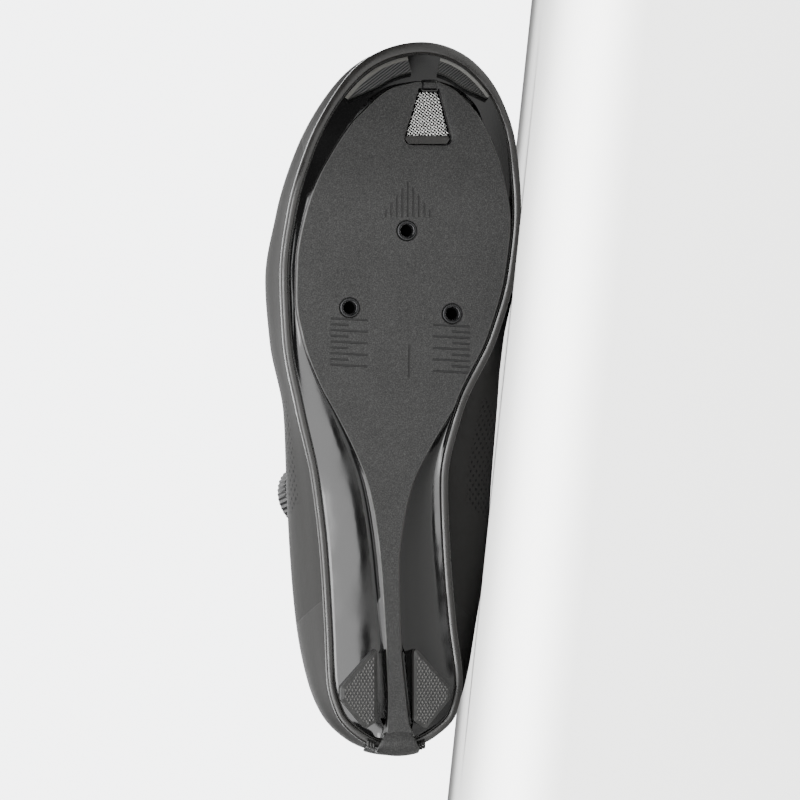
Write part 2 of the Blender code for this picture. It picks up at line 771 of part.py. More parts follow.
def build_insole():
    """Loose footbed on the lasting margin."""
    plan = offset_loop(SOLE_OUTLINE, -BITE_INSET - UPPER_WALL - INSOLE_CLEARANCE)
    low = LASTING_GAP + UPPER_WALL + LASTING_GAP
    bottom = [Vector((p.x, p.y, footbed(p.x) + low)) for p in plan]
    top = [v + Vector((0, 0, INSOLE_THICKNESS)) for v in bottom]
    count = len(plan)
    vertices = bottom + top
    faces = []
    strip(0, count, count, faces)
    for i in range(STATIONS):
        a = i
        b = i + 1
        c = (count - i - 1) % count
        d = (count - i) % count
        under = [d, c, b, a]
        kept = [v for n, v in enumerate(under) if v not in under[:n]]
        faces.append(kept)
        faces.append([v + count for v in reversed(kept)])
    return link("insole", vertices, faces, (0.06, 0.06, 0.065), 0.9)


# Fittings of the sole

def build_inserts():
    """Threaded steel inserts for the cleat screws, pressed through the plate."""
    names = ("insert_front", "insert_rear_lateral", "insert_rear_medial")
    for name, centre in zip(names, insert_centres()):
        outer = circle(centre, INSERT_DIAMETER / 2)
        inner = circle(centre, SCREW_BORE / 2)
        low = plate_height(centre.x) - INSERT_PROUD
        high = footbed(centre.x)
        rings = [(outer, low), (outer, high), (inner, high), (inner, low)]
        vertices = [Vector((p.x, p.y, z)) for loop, z in rings for p in loop]
        faces = []
        for n in range(len(rings)):
            strip(n * ROUND_SIDES, ((n + 1) % len(rings)) * ROUND_SIDES, ROUND_SIDES, faces)
        link(name, vertices, faces, (0.02, 0.02, 0.02), 0.3, 0.8)


def build_vent_mesh():
    """Flat wire-mesh plate in the vent window, behind its ledge."""
    loop = vent_loop(-FIT_GAP)
    low = [Vector((p.x, p.y, plate_height(p.x) + VENT_RECESS + FIT_GAP)) for p in loop]
    high = [v + Vector((0, 0, MESH_THICKNESS)) for v in low]
    vertices, faces = stack_loops([low, high])
    link("vent_mesh", vertices, faces, (0.55, 0.55, 0.55), 0.35, 0.9)


def counter_clockwise(loop):
    """The plan loop in the order that encloses a positive area."""
    area = sum(a.cross(b) for a, b in zip(loop, loop[1:] + loop[:1]))
    return loop if area > 0 else list(reversed(loop))


def seat_below(tree, point):
    """Point under the sole at a plan position, one seat gap off its surface."""
    hit, _, _, _ = tree.ray_cast(Vector((point.x, point.y, -LENGTH)), Vector((0, 0, 1)))
    return hit - Vector((0, 0, PAD_SEAT_GAP))


def build_toe_pads(tree):
    """Two rubber bumpers in the groove round the toe, split at its middle."""
    outer = offset_loop(SOLE_OUTLINE, -RIM_WIDTH - RIM_STEP - FIT_GAP)
    toe = outer[STATIONS]
    for name, step in (("toe_pad_lateral", -1), ("toe_pad_medial", 1)):
        line = []
        inward = []
        for n in range(1, STATIONS // 2):
            k = STATIONS + step * n
            if (outer[k] - toe).length > TOE_PAD_GAP / 2 and outer[k].x > TOE_PAD_BACK_ALONG * LENGTH:
                along = outer[k + 1] - outer[k - 1]
                line.append(outer[k])
                inward.append(Vector((-along.y, along.x)).normalized())
        line.insert(0, toe + (line[0] - toe).normalized() * (TOE_PAD_GAP / 2))
        inward.insert(0, inward[0])
        last = len(line) - 1
        inner = []
        for n, (point, side) in enumerate(zip(line, inward)):
            taper = TOE_PAD_TAPER * max(0.0, 2 * n / last - 1) ** 2
            inner.append(point + side * TOE_PAD_WIDTH * (1 - taper))
        loop = counter_clockwise(line + list(reversed(inner)))
        vertices, faces = pad_solid(tree, loop, lambda seat: seat.z - TOE_PAD_PROUD, PAD_EDGE)
        link(name, vertices, faces, (0.02, 0.02, 0.02), 0.75)


def pad_solid(tree, loop, front_height, edge):
    """A pad between its seat on the sole and its outer face, with a bevelled rim."""
    fill = fill_points([loop], PAD_SPACING)
    points, triangles = triangulate([loop], [], fill)
    seat = [seat_below(tree, p) for p in points]
    count = len(loop)
    inset = offset_loop(loop, -edge)
    front = [Vector((p.x, p.y, front_height(s))) for p, s in zip(inset + points[count:], seat)]
    wall = [Vector((p.x, p.y, f.z + edge)) for p, f in zip(loop, front)]
    vertices = front + seat + wall
    walls = len(front) + len(seat)
    faces = [list(reversed(face)) for face in triangles]
    faces += [[i + len(front) for i in face] for face in triangles]
    strip(0, walls, count, faces)
    strip(walls, len(front), count, faces)
    return vertices, faces


def rounded(corners, radius, steps=3):
    """Plan polygon with round corners, as a loop of even length."""
    loop = []
    for k, corner in enumerate(corners):
        before = (corners[k - 1] - corner).normalized()
        after = (corners[(k + 1) % len(corners)] - corner).normalized()
        half = before.angle(after) / 2
        reach = radius / math.tan(half)
        a = corner + before * reach
        b = corner + after * reach
        for n in range(steps + 1):
            t = n / steps
            loop.append(a * (1 - t) ** 2 + corner * 2 * t * (1 - t) + b * t * t)
    return loop


def build_heel_pads(tree):
    """Two three-cornered rubber heel pads beside the keel; their faces stand on the ground plane."""
    for name, out in (("heel_pad_lateral", -1), ("heel_pad_medial", 1)):
        keel_side = HEEL_PAD_ACROSS * BALL_WIDTH + out * HEEL_PAD_SPLIT / 2
        far_side = keel_side + out * HEEL_PAD_WIDTH
        front = HEEL_PAD_FRONT_ALONG * LENGTH
        back = front - HEEL_PAD_LENGTH
        shoulder = front - HEEL_PAD_LENGTH * HEEL_PAD_SHOULDER_SHARE
        corners = [
            Vector((front, keel_side)),
            Vector((shoulder, far_side)),
            Vector((shoulder - 1.5 * HEEL_PAD_CORNER, far_side)),
            Vector((back, keel_side + out * HEEL_PAD_HEEL_STEP)),
            Vector((back + HEEL_PAD_CORNER, keel_side)),
        ]
        loop = counter_clockwise(rounded(corners, HEEL_PAD_CORNER / 2))
        vertices, faces = pad_solid(tree, loop, lambda seat: 0.0, HEEL_PAD_BEVEL)
        link(name, vertices, faces, (0.022, 0.022, 0.022), 0.7)


# Lace dial, guides and cord

def normal_at(tree, x, y):
    """Mean outward direction of the upper round a plan position."""
    total = Vector((0, 0, 0))
    for dx in (-1, 0, 1):
        for dy in (-1, 0, 1):
            start = Vector((x + dx * DIAL_DIAMETER / 4, y + dy * DIAL_DIAMETER / 4, LENGTH))
            hit, normal, _, _ = tree.ray_cast(start, Vector((0, 0, -1)))
            if hit:
                total += normal
    return total.normalized()


def seated_patch(tree, centre, axis, plan, height, skirt):
    """Solid with a flat outer face along an axis, whose underside follows the piece it sits on.

    The plan is a list of rings of offsets, outermost ring first, and one middle point last."""
    across = axis.cross(Vector((1, 0, 0))).normalized()
    ahead = across.cross(axis)
    flat = [centre + ahead * p.x + across * p.y for ring in plan for p in ring]
    depths = []
    for point in flat:
        hit, _, _, reach = tree.ray_cast(point + axis * DIAL_DIAMETER, -axis)
        depths.append(reach - DIAL_DIAMETER if hit else LENGTH)
    least = min(depths)
    depths = [depth if depth < skirt else least for depth in depths]
    top = height - least
    under = [point - axis * (depth - SEAT_GAP) for point, depth in zip(flat, depths)]
    over = [point + axis * top for point in flat]
    count = len(flat)
    sides = len(plan[0])
    vertices = under + over
    faces = []
    for ring in range(len(plan) - 2):
        strip((ring + 1) * sides, ring * sides, sides, faces)
    middle = count - 1
    last = (len(plan) - 2) * sides
    for k in range(sides):
        faces.append((last + (k + 1) % sides, last + k, middle))
    faces += [tuple(i + count for i in reversed(face)) for face in faces]
    strip(0, count, sides, faces)
    return vertices, faces, top


def facing_out(vertices, faces):
    """The faces turned so that they point out of the closed solid."""
    volume = 0.0
    for face in faces:
        for a, b in zip(face[1:], face[2:]):
            volume += vertices[face[0]].dot(vertices[a].cross(vertices[b]))
    return faces if volume > 0 else [tuple(reversed(face)) for face in faces]


def build_dial(tree):
    """Lace dial: a base moulded to the lateral quarter and a knob turned on it."""
    start = Vector((DIAL_ALONG * LENGTH, DIAL_ACROSS * BALL_WIDTH, LENGTH))
    centre, _, _, _ = tree.ray_cast(start, Vector((0, 0, -1)))
    axis = normal_at(tree, start.x, start.y)
    radius = DIAL_DIAMETER / 2 - DIAL_BASE_RIM
    plan = [circle(Vector((0, 0)), radius), circle(Vector((0, 0)), radius * 0.55), [Vector((0, 0))]]
    vertices, faces, top = seated_patch(tree, centre, axis, plan, DIAL_BASE_HEIGHT, DIAL_SKIRT)
    link("dial_base", vertices, facing_out(vertices, faces), (0.02, 0.02, 0.02), 0.5)
    across = axis.cross(Vector((1, 0, 0))).normalized()
    ahead = across.cross(axis)
    rim = DIAL_DIAMETER / 2
    rings = [(radius, 0.0), (rim, DIAL_CHAMFER), (rim, DIAL_HEIGHT - DIAL_CHAMFER), (rim - DIAL_CHAMFER, DIAL_HEIGHT)]
    loops = []
    for ring_radius, height in rings:
        middle = centre + axis * (top + FIT_GAP + height)
        ring = circle(Vector((0, 0)), ring_radius, 2 * ROUND_SIDES)
        loops.append([middle + ahead * p.x + across * p.y for p in ring])
    knob, faces = stack_loops(loops)
    link("dial_knob", knob, facing_out(knob, faces), (0.03, 0.03, 0.03), 0.45)
    return centre + axis * (top - DIAL_BASE_HEIGHT / 2)


def guide_place(tree, side, share):
    """Seat of a lace guide beside the throat."""
    out = -1 if side == "lateral" else 1
    x = share * LENGTH
    start = Vector((x, centre_line(x) + out * (opening_half(side)(x) + GUIDE_SETBACK), LENGTH))
    hit, _, _, _ = tree.ray_cast(start, Vector((0, 0, -1)))
    return hit, normal_at(tree, start.x, start.y)


def build_guides(tree):
    """Moulded lace guides beside the throat: three on the lateral side, four on the medial side."""
    places = {}
    corners = [Vector((GUIDE_LENGTH / 2 * i, GUIDE_WIDTH / 2 * j)) for i, j in ((-1, -1), (1, -1), (1, 1), (-1, 1))]
    outer = rounded(corners, GUIDE_WIDTH / 4)
    plan = [outer, [p * 0.5 for p in outer], [Vector((0, 0))]]
    for side in ("lateral", "medial"):
        shares = GUIDES_ALONG if side == "lateral" else (DIAL_GUIDE_ALONG,) + GUIDES_ALONG
        for n, share in enumerate(shares):
            centre, axis = guide_place(tree, side, share)
            vertices, faces, _ = seated_patch(tree, centre, axis, plan, GUIDE_HEIGHT, DIAL_SKIRT)
            link(f"guide_{side}_{n + 1}", vertices, facing_out(vertices, faces), (0.02, 0.02, 0.02), 0.5)
            places[side, share] = centre
    return places


def tube(path, radius):
    """Round cord along a path that runs across the shoe, with flat ends."""
    loops = []
    for n, point in enumerate(path):
        along = (path[min(n + 1, len(path) - 1)] - path[max(n - 1, 0)]).normalized()
        level = along.cross(Vector((0, 0, 1))).normalized()
        rise = level.cross(along)
        loops.append([point + level * p.x + rise * p.y for p in circle(Vector((0, 0)), radius, CORD_SIDES)])
    vertices, faces = stack_loops(loops)
    return vertices, facing_out(vertices, faces)


def build_cord(trees, places, dial):
    """Cord crossings over the throat, each a bar between two fittings, clear of tongue and upper."""
    runs = [(places["lateral", share], places["medial", share], GUIDE_LENGTH / 2) for share in GUIDES_ALONG]
    runs.insert(0, (dial, places["medial", DIAL_GUIDE_ALONG], DIAL_DIAMETER / 2))
    for n, (start, end, clear) in enumerate(runs):
        along = Vector((end.x - start.x, end.y - start.y)).normalized()
        first = Vector((start.x, start.y)) + along * (clear + CORD_CLEARANCE)
        last = Vector((end.x, end.y)) - along * (GUIDE_WIDTH / 2 + 2 * CORD_CLEARANCE)
        path = []
        for i in range(CORD_POINTS):
            plan = first.lerp(last, i / (CORD_POINTS - 1))
            hits = []
            for tree in trees:
                for shift in (-CORD_DIAMETER, 0, CORD_DIAMETER):
                    above = Vector((plan.x + shift, plan.y, LENGTH))
                    hits.append(tree.ray_cast(above, Vector((0, 0, -1)))[0])
            height = max(hit.z for hit in hits if hit)
            path.append(Vector((plan.x, plan.y, height + CORD_DIAMETER / 2 + CORD_CLEARANCE)))
        for i in range(1, CORD_POINTS - 1):
            for a in range(i):
                for b in range(i + 1, CORD_POINTS):
                    chord = path[a].z + (path[b].z - path[a].z) * (i - a) / (b - a)
                    path[i].z = max(path[i].z, chord)
        vertices, faces = tube(path, CORD_DIAMETER / 2)
        link(f"cord_bar_{n + 1}", vertices, faces, (0.05, 0.05, 0.05), 0.6)


def build_heel_tab():
    """Moulded tab up the back of the heel, over the upper's own surface."""
    ks = list(range(-HEEL_TAB_COLUMNS, HEEL_TAB_COLUMNS + 1))
    rows = [[UPPER_ROWS[r][k] for k in ks] for r in range(HEEL_TAB_ROWS[0], HEEL_TAB_ROWS[1] + 1)]
    vertices = [v for row in rows for v in row]
    faces = grid_faces(len(rows), len(ks), wrap=False)
    made, closed = shell(vertices, faces, -FIT_GAP - HEEL_TAB_THICKNESS, HEEL_TAB_THICKNESS)
    link("heel_tab", made, closed, (0.03, 0.03, 0.03), 0.3)


# Lying down

def centre_of_mass(pieces):
    """Middle of the pieces' volume."""
    total = 0.0
    moment = Vector((0, 0, 0))
    for piece in pieces:
        mesh = piece.data
        for polygon in mesh.polygons:
            corners = [mesh.vertices[i].co for i in polygon.vertices]
            for b, c in zip(corners[1:], corners[2:]):
                part = corners[0].dot(b.cross(c))
                total += part
                moment += part * (corners[0] + b + c) / 4
    return moment / total


def resting_plane(pieces):
    """Outward direction and distance of the hull face that the shoe lies on, nearest to its medial side."""
    middle = centre_of_mass(pieces)
    hull = bmesh.new()
    for piece in pieces:
        for vertex in piece.data.vertices:
            hull.verts.new(vertex.co)
    bmesh.ops.convex_hull(hull, input=hull.verts)
    hull.normal_update()
    best = None
    for face in hull.faces:
        normal = face.normal.copy()
        reach = normal.dot(face.verts[0].co)
        if reach < normal.dot(middle):
            normal.negate()
            reach = -reach
        foot = middle + normal * (reach - normal.dot(middle))
        corners = [v.co for v in face.verts]
        turns = [(b - a).cross(foot - a).dot(normal) for a, b in zip(corners, corners[1:] + corners[:1])]
        if (min(turns) >= 0 or max(turns) <= 0) and (best is None or normal.y > best[0].y):
            best = (normal, reach)
    hull.free()
    return best


def cut_flat(piece, down, reach):
    """Take off what lies past the floor plane and close the cut with a flat face."""
    bm = bmesh.new()
    bm.from_mesh(piece.data)
    geometry = list(bm.verts) + list(bm.edges) + list(bm.faces)
    cut = bmesh.ops.bisect_plane(bm, geom=geometry, plane_co=down * reach, plane_no=down, clear_outer=True)
    edges = [item for item in cut["geom_cut"] if isinstance(item, bmesh.types.BMEdge)]
    bmesh.ops.holes_fill(bm, edges=edges, sides=0)
    bm.normal_update()
    bm.to_mesh(piece.data)
    bm.free()


def lay_down(pieces):
    """Turn the shoe onto its medial side, with small flats where it touches the floor."""
    down, reach = resting_plane(pieces)
    reach -= REST_FLAT
    for piece in pieces:
        if max(down.dot(vertex.co) for vertex in piece.data.vertices) > reach:
            cut_flat(piece, down, reach)
    ahead = (Vector((1, 0, 0)) - down * down.x).normalized()
    up = -down
    side = up.cross(ahead)
    turned = Matrix((ahead, side, up))
    corners = [turned @ vertex.co for piece in pieces for vertex in piece.data.vertices]
    low = [min(corner[n] for corner in corners) for n in range(3)]
    high = [max(corner[n] for corner in corners) for n in range(3)]
    shift = Vector((-(low[0] + high[0]) / 2, -(low[1] + high[1]) / 2, reach))
    frame = bpy.data.objects.new("laid_on_side", None)
    bpy.context.collection.objects.link(frame)
    frame.matrix_world = Matrix.Translation(shift) @ turned.to_4x4()
    for piece in pieces:
        piece.parent = frame


for old in list(bpy.data.objects):
    bpy.data.objects.remove(old, do_unlink=True)

outsole = build_outsole()
upper = build_upper()
tongue = build_tongue()
build_insole()
build_inserts()
build_vent_mesh()
sole_tree = surface_of(outsole)
build_toe_pads(sole_tree)
build_heel_pads(sole_tree)
upper_tree = surface_of(upper)
dial = build_dial(upper_tree)
guides = build_guides(upper_tree)
build_cord([upper_tree, surface_of(tongue)], guides, dial)
build_heel_tab()
lay_down([piece for piece in bpy.data.objects if piece.type == "MESH"])
bpy.context.view_layer.update()
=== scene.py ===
"""Looks for a right road cycling shoe that lies on its medial side, with its sole towards the camera.

The shoe is drawn in its own frame, in metres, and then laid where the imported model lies: x runs from
heel to toe, +y is the medial side, and z is the height above the ground that the shoe walks on.
"""

import json
import math

import bmesh
import bpy
from mathutils import Matrix, Vector
from mathutils.bvhtree import BVHTree
from mathutils.geometry import delaunay_2d_cdt


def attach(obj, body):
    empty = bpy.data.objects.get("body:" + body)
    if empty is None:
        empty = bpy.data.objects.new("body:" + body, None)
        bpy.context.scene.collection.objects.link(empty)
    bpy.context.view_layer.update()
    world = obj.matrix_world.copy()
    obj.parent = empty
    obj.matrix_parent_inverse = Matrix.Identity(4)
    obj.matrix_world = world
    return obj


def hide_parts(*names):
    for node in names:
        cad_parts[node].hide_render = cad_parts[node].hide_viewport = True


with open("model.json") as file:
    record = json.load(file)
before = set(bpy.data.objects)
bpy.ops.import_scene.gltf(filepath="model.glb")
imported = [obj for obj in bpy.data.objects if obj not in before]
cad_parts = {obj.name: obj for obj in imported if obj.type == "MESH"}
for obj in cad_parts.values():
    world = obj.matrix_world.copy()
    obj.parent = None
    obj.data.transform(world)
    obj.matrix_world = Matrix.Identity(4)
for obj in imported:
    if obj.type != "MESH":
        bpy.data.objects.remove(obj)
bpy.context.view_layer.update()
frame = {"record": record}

# Where the shoe lies
# The real shoe rolls onto its medial side until sole edge and upper both touch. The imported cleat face
# says where its sole is and which way it looks, and the line from heel to toe has no depth.
MM = 0.001
CLEAT_FACE_POINT = Vector((175 * MM, 12 * MM, 0))
cleat_face = next(mount for mount in frame["record"]["mounts"] if mount["name"] == "cleat_face")
shoe_up = -Vector(cleat_face["axis"]).normalized()
toe_way = Vector((0, 1, 0)).cross(shoe_up).normalized()
medial_way = shoe_up.cross(toe_way)
turned = Matrix((toe_way, medial_way, shoe_up)).transposed()
lying = Matrix.Translation(Vector(cleat_face["pos_m"]) - turned @ CLEAT_FACE_POINT) @ turned.to_4x4()

# Camera, light and floor
# A long lens looks at the sole with the toe up, as near to square on as the floor allows. Four soft
# boxes light the shoe and the floor in front of it, and the pale floor sends a little of that back.
CAMERA_DISTANCE = 2.4
CAMERA_HEIGHT = 8 * MM
PICTURE_SPAN = 294.9 * MM
PICTURE_MIDDLE = 132.1 * MM
SENSOR = 36.0
target = lying @ Vector((PICTURE_MIDDLE, 0, 0))
stand = target - shoe_up * CAMERA_DISTANCE
stand.z = CAMERA_HEIGHT
camera = bpy.data.objects.new("camera", bpy.data.cameras.new("camera"))
bpy.context.collection.objects.link(camera)
bpy.context.scene.camera = camera
camera.data.sensor_width = SENSOR
camera.data.lens = SENSOR * (target - stand).length / PICTURE_SPAN
back = (stand - target).normalized()
picture_up = (toe_way - back * toe_way.dot(back)).normalized()
view_axes = Matrix((picture_up.cross(back), picture_up, back)).transposed()
camera.matrix_world = Matrix.Translation(stand) @ view_axes.to_4x4()


def soft_box(name, place, aim, width, height, watts):
    """A rectangular area light that looks at a point."""
    light = bpy.data.lights.new(name, "AREA")
    light.shape = "RECTANGLE"
    light.size = width
    light.size_y = height
    light.energy = watts
    lamp = bpy.data.objects.new(name, light)
    lamp.location = place
    lamp.rotation_euler = (Vector(place) - Vector(aim)).to_track_quat("Z", "Y").to_euler()
    bpy.context.collection.objects.link(lamp)


soft_box("soft_box_over", (-0.45, -1.55, 0.74), (0, 0, 0.05), 2.2, 1.2, 76)
soft_box("soft_box_top", (-0.1, 0.10, 1.10), (-0.1, 0.10, 0.0), 1.2, 0.8, 20)
soft_box("soft_box_behind", (0.0, 0.8, 0.9), (0, 0.15, 0.0), 1.4, 0.6, 8)
soft_box("soft_box_front", (0.0, -2.1, 1.0), (0, -2.1, 0.0), 1.4, 1.0, 66)

WORLD_BRIGHT = 5.5
WORLD_DIM = 0.12
BRIGHT_FROM = 0.80
BRIGHT_TO = 0.97
world = bpy.data.worlds.new("studio")
bpy.context.scene.world = world
world.use_nodes = True
air = world.node_tree
backdrop = air.nodes["Background"]
backdrop.inputs["Color"].default_value = (0.98, 0.99, 1.0, 1)
direction = air.nodes.new("ShaderNodeTexCoord")
split = air.nodes.new("ShaderNodeSeparateXYZ")
fall = air.nodes.new("ShaderNodeMapRange")
for socket, value in (("From Min", BRIGHT_FROM), ("From Max", BRIGHT_TO),
                      ("To Min", WORLD_DIM), ("To Max", WORLD_BRIGHT)):
    fall.inputs[socket].default_value = value
air.links.new(direction.outputs["Generated"], split.inputs[0])
air.links.new(split.outputs["Y"], fall.inputs["Value"])
air.links.new(fall.outputs[0], backdrop.inputs["Strength"])


class Wire:
    """A value on its way through a material, so that shader maths reads as a formula."""

    def __init__(self, finish, socket):
        self.finish = finish
        self.socket = socket

    def maths(self, operation, *others):
        return self.finish.node("Math", {"operation": operation}, dict(enumerate((self,) + others)))

    def __add__(self, other):
        return self.maths("ADD", other)

    def __radd__(self, other):
        return self.maths("ADD", other)

    def __sub__(self, other):
        return self.maths("SUBTRACT", other)

    def __rsub__(self, other):
        return self.finish.node("Math", {"operation": "SUBTRACT"}, {0: other, 1: self})

    def __mul__(self, other):
        return self.maths("MULTIPLY", other)

    def __rmul__(self, other):
        return self.maths("MULTIPLY", other)

    def __truediv__(self, other):
        return self.maths("DIVIDE", other)

    def __abs__(self):
        return self.maths("ABSOLUTE")

    def highest(self, other):
        return self.maths("MAXIMUM", other)

    def between(self, low, high):
        """1 from low to high and 0 outside."""
        return self.maths("GREATER_THAN", low) * self.maths("LESS_THAN", high)

    def within(self, reach, blur):
        """1 at 0, and a soft fall to 0 at the reach."""
        return self.finish.ramp(abs(self), reach - blur, reach, 1.0, 0.0)

    def to_nearest(self, pitch):
        """Distance to the nearest whole multiple of a pitch."""
        return self.maths("WRAP", pitch / 2, -pitch / 2)


class Finish:
    """A Principled material: constant values sit on its own sockets, and node() adds what varies."""

    def __init__(self, name, color, roughness, more=None):
        self.material = bpy.data.materials.new(name)
        self.material.use_nodes = True
        self.tree = self.material.node_tree
        self.shader = self.tree.nodes["Principled BSDF"]
        self.feed(self.shader, {"Base Color": (*color, 1.0), "Roughness": roughness, **(more or {})})

    def feed(self, node, sockets):
        for name, value in sockets.items():
            if isinstance(value, Wire):
                self.tree.links.new(value.socket, node.inputs[name])
            else:
                node.inputs[name].default_value = value

    def node(self, kind, settings, sockets, output=0):
        made = self.tree.nodes.new("ShaderNode" + kind)
        for name, value in settings.items():
            setattr(made, name, value)
        self.feed(made, sockets)
        return Wire(self, made.outputs[output])

    def ramp(self, value, low, high, at_low, at_high):
        """A value carried smoothly from one range to another."""
        sockets = {"Value": value, "From Min": low, "From Max": high, "To Min": at_low, "To Max": at_high}
        return self.node("MapRange", {"interpolation_type": "SMOOTHSTEP"}, sockets)

    def place(self):
        """Millimetres from the heel towards the toe, towards the medial side and up from the ground."""
        point = self.node("TexCoord", {}, {}, "Object")
        point = self.node("VectorMath", {"operation": "SUBTRACT"}, {0: point, 1: lying.translation})
        return [self.node("VectorMath", {"operation": "DOT_PRODUCT"}, {0: point, 1: way}, "Value") / MM
                for way in (toe_way, medial_way, shoe_up)]

    def noise(self, pitch, detail=2.0, stretch=(1, 1, 1)):
        """Noise from 0 to 1 whose lumps are about a pitch across, drawn out along an axis by its stretch."""
        point = self.node("TexCoord", {}, {}, "Object")
        point = self.node("Mapping", {}, {"Vector": point, "Scale": [1 / s for s in stretch]})
        return self.node("TexNoise", {}, {"Vector": point, "Scale": 1 / pitch, "Detail": detail})

    def tint(self, mask, light, dark):
        """Colour that goes from dark to light with a mask."""
        sockets = {"Factor": mask, 6: (*dark, 1.0), 7: (*light, 1.0)}
        return self.node("Mix", {"data_type": "RGBA"}, sockets, 2)

    def relief(self, height, depth, under=None):
        """Bump whose full height is a depth in metres, on top of another bump."""
        sockets = {"Height": height, "Distance": depth, "Strength": 1.0}
        if under:
            sockets["Normal"] = under
        return self.node("Bump", {}, sockets)

    def knit(self, pitch):
        """Rounded cells a pitch apart, like the loops of a knit cloth."""
        point = self.node("TexCoord", {}, {}, "Object")
        return self.node("TexVoronoi", {}, {"Vector": point, "Scale": 1 / pitch})

    def wear(self, sockets):
        self.feed(self.shader, sockets)
        return self.material

    def grained(self, pitch, depth, detail=2.0):
        """Fine grain all over, and nothing else."""
        return self.wear({"Normal": self.relief(self.noise(pitch, detail), depth)})

    def patchy(self, pitch, low, high, detail=2.0):
        """Roughness that wanders between two values."""
        return self.wear({"Roughness": self.ramp(self.noise(pitch, detail), 0.3, 0.7, low, high)})


FLOOR_SIZE = 6.0
floor_mesh = bpy.data.meshes.new("floor")
half = FLOOR_SIZE / 2
floor_corners = [(-half, -half, 0), (half, -half, 0), (half, half, 0), (-half, half, 0)]
floor_mesh.from_pydata(floor_corners, [], [(0, 1, 2, 3)])
floor = bpy.data.objects.new("floor", floor_mesh)
bpy.context.collection.objects.link(floor)
paper = Finish("pale_paper", (0.74, 0.74, 0.73), 0.9, {"Specular IOR Level": 0.0})
floor_mesh.materials.append(paper.grained(2 * MM, 0.02 * MM))

# Outsole
# One stiff moulding in nylon composite: a bead runs round the edge, glossy channels lie inside it, and
# a matte plate stands out of them, a teardrop under the ball that narrows to a keel at the heel.
LENGTH = 265 * MM
BALL_WIDTH = 95 * MM
ARCH_RISE = 6 * MM
TOE_SPRING = 17 * MM
SOLE_HEEL_SETBACK = 2 * MM
CHANNEL_DEPTH = 5.5 * MM
LIP_RISE = 3 * MM
HEEL_STACK = 12.5 * MM
EDGE_ROUND = 0.8 * MM
RIM_BEAD = 0.8 * MM
PLATE_STEP = 0.7 * MM
KEEL_WALL = 2 * MM
RIM_WIDTH = 2.8 * MM
RIM_STEP = 0.6 * MM
CHANNEL_MIN = 0.5 * MM
FIT_GAP = 0.3 * MM
STATIONS = 130
END_SHARE = 0.12


def table(columns, rows):
    """Columns by name from a short table of rows."""
    return {name: [row[i] for row in rows] for i, name in enumerate(columns.split())}


OUTLINE = table("along  sole_lateral  sole_medial  lateral  medial  widest", [
    (0.00, -0.012, -0.012, -0.012, -0.012, 0.38),
    (0.02, -0.162, 0.156, -0.182, 0.157, 0.38),
    (0.05, -0.236, 0.233, -0.263, 0.241, 0.38),
    (0.10, -0.275, 0.259, -0.321, 0.298, 0.38),
    (0.18, -0.285, 0.234, -0.364, 0.342, 0.41),
    (0.28, -0.301, 0.213, -0.388, 0.387, 0.44),
    (0.38, -0.333, 0.204, -0.403, 0.409, 0.46),
    (0.48, -0.397, 0.260, -0.419, 0.428, 0.43),
    (0.58, -0.453, 0.384, -0.477, 0.443, 0.38),
    (0.67, -0.464, 0.454, -0.498, 0.485, 0.34),
    (0.76, -0.434, 0.479, -0.457, 0.501, 0.32),
    (0.85, -0.357, 0.464, -0.378, 0.477, 0.32),
    (0.92, -0.253, 0.411, -0.273, 0.415, 0.32),
    (0.97, -0.134, 0.316, -0.146, 0.315, 0.33),
    (1.00, 0.110, 0.110, 0.110, 0.110, 0.34),
])
PROFILE = table("along  arch  spring  channel  lip  stack", [
    (0.00, 0.67, 0.00, 1.00, 0.85, 0.88),
    (0.11, 0.42, 0.00, 1.00, 0.90, 1.00),
    (0.23, 0.67, 0.00, 0.90, 0.95, 0.92),
    (0.36, 1.00, 0.00, 0.78, 1.00, 0.84),
    (0.49, 0.50, 0.00, 0.49, 0.85, 0.76),
    (0.585, 0.00, 0.00, 0.30, 0.65, 0.66),
    (0.68, 0.00, 0.00, 0.27, 0.60, 0.61),
    (0.77, 0.00, 0.00, 0.27, 0.60, 0.60),
    (0.87, 0.00, 0.25, 0.27, 0.55, 0.55),
    (0.94, 0.00, 0.62, 0.27, 0.50, 0.52),
    (1.00, 0.00, 1.00, 0.27, 0.50, 0.48),
])
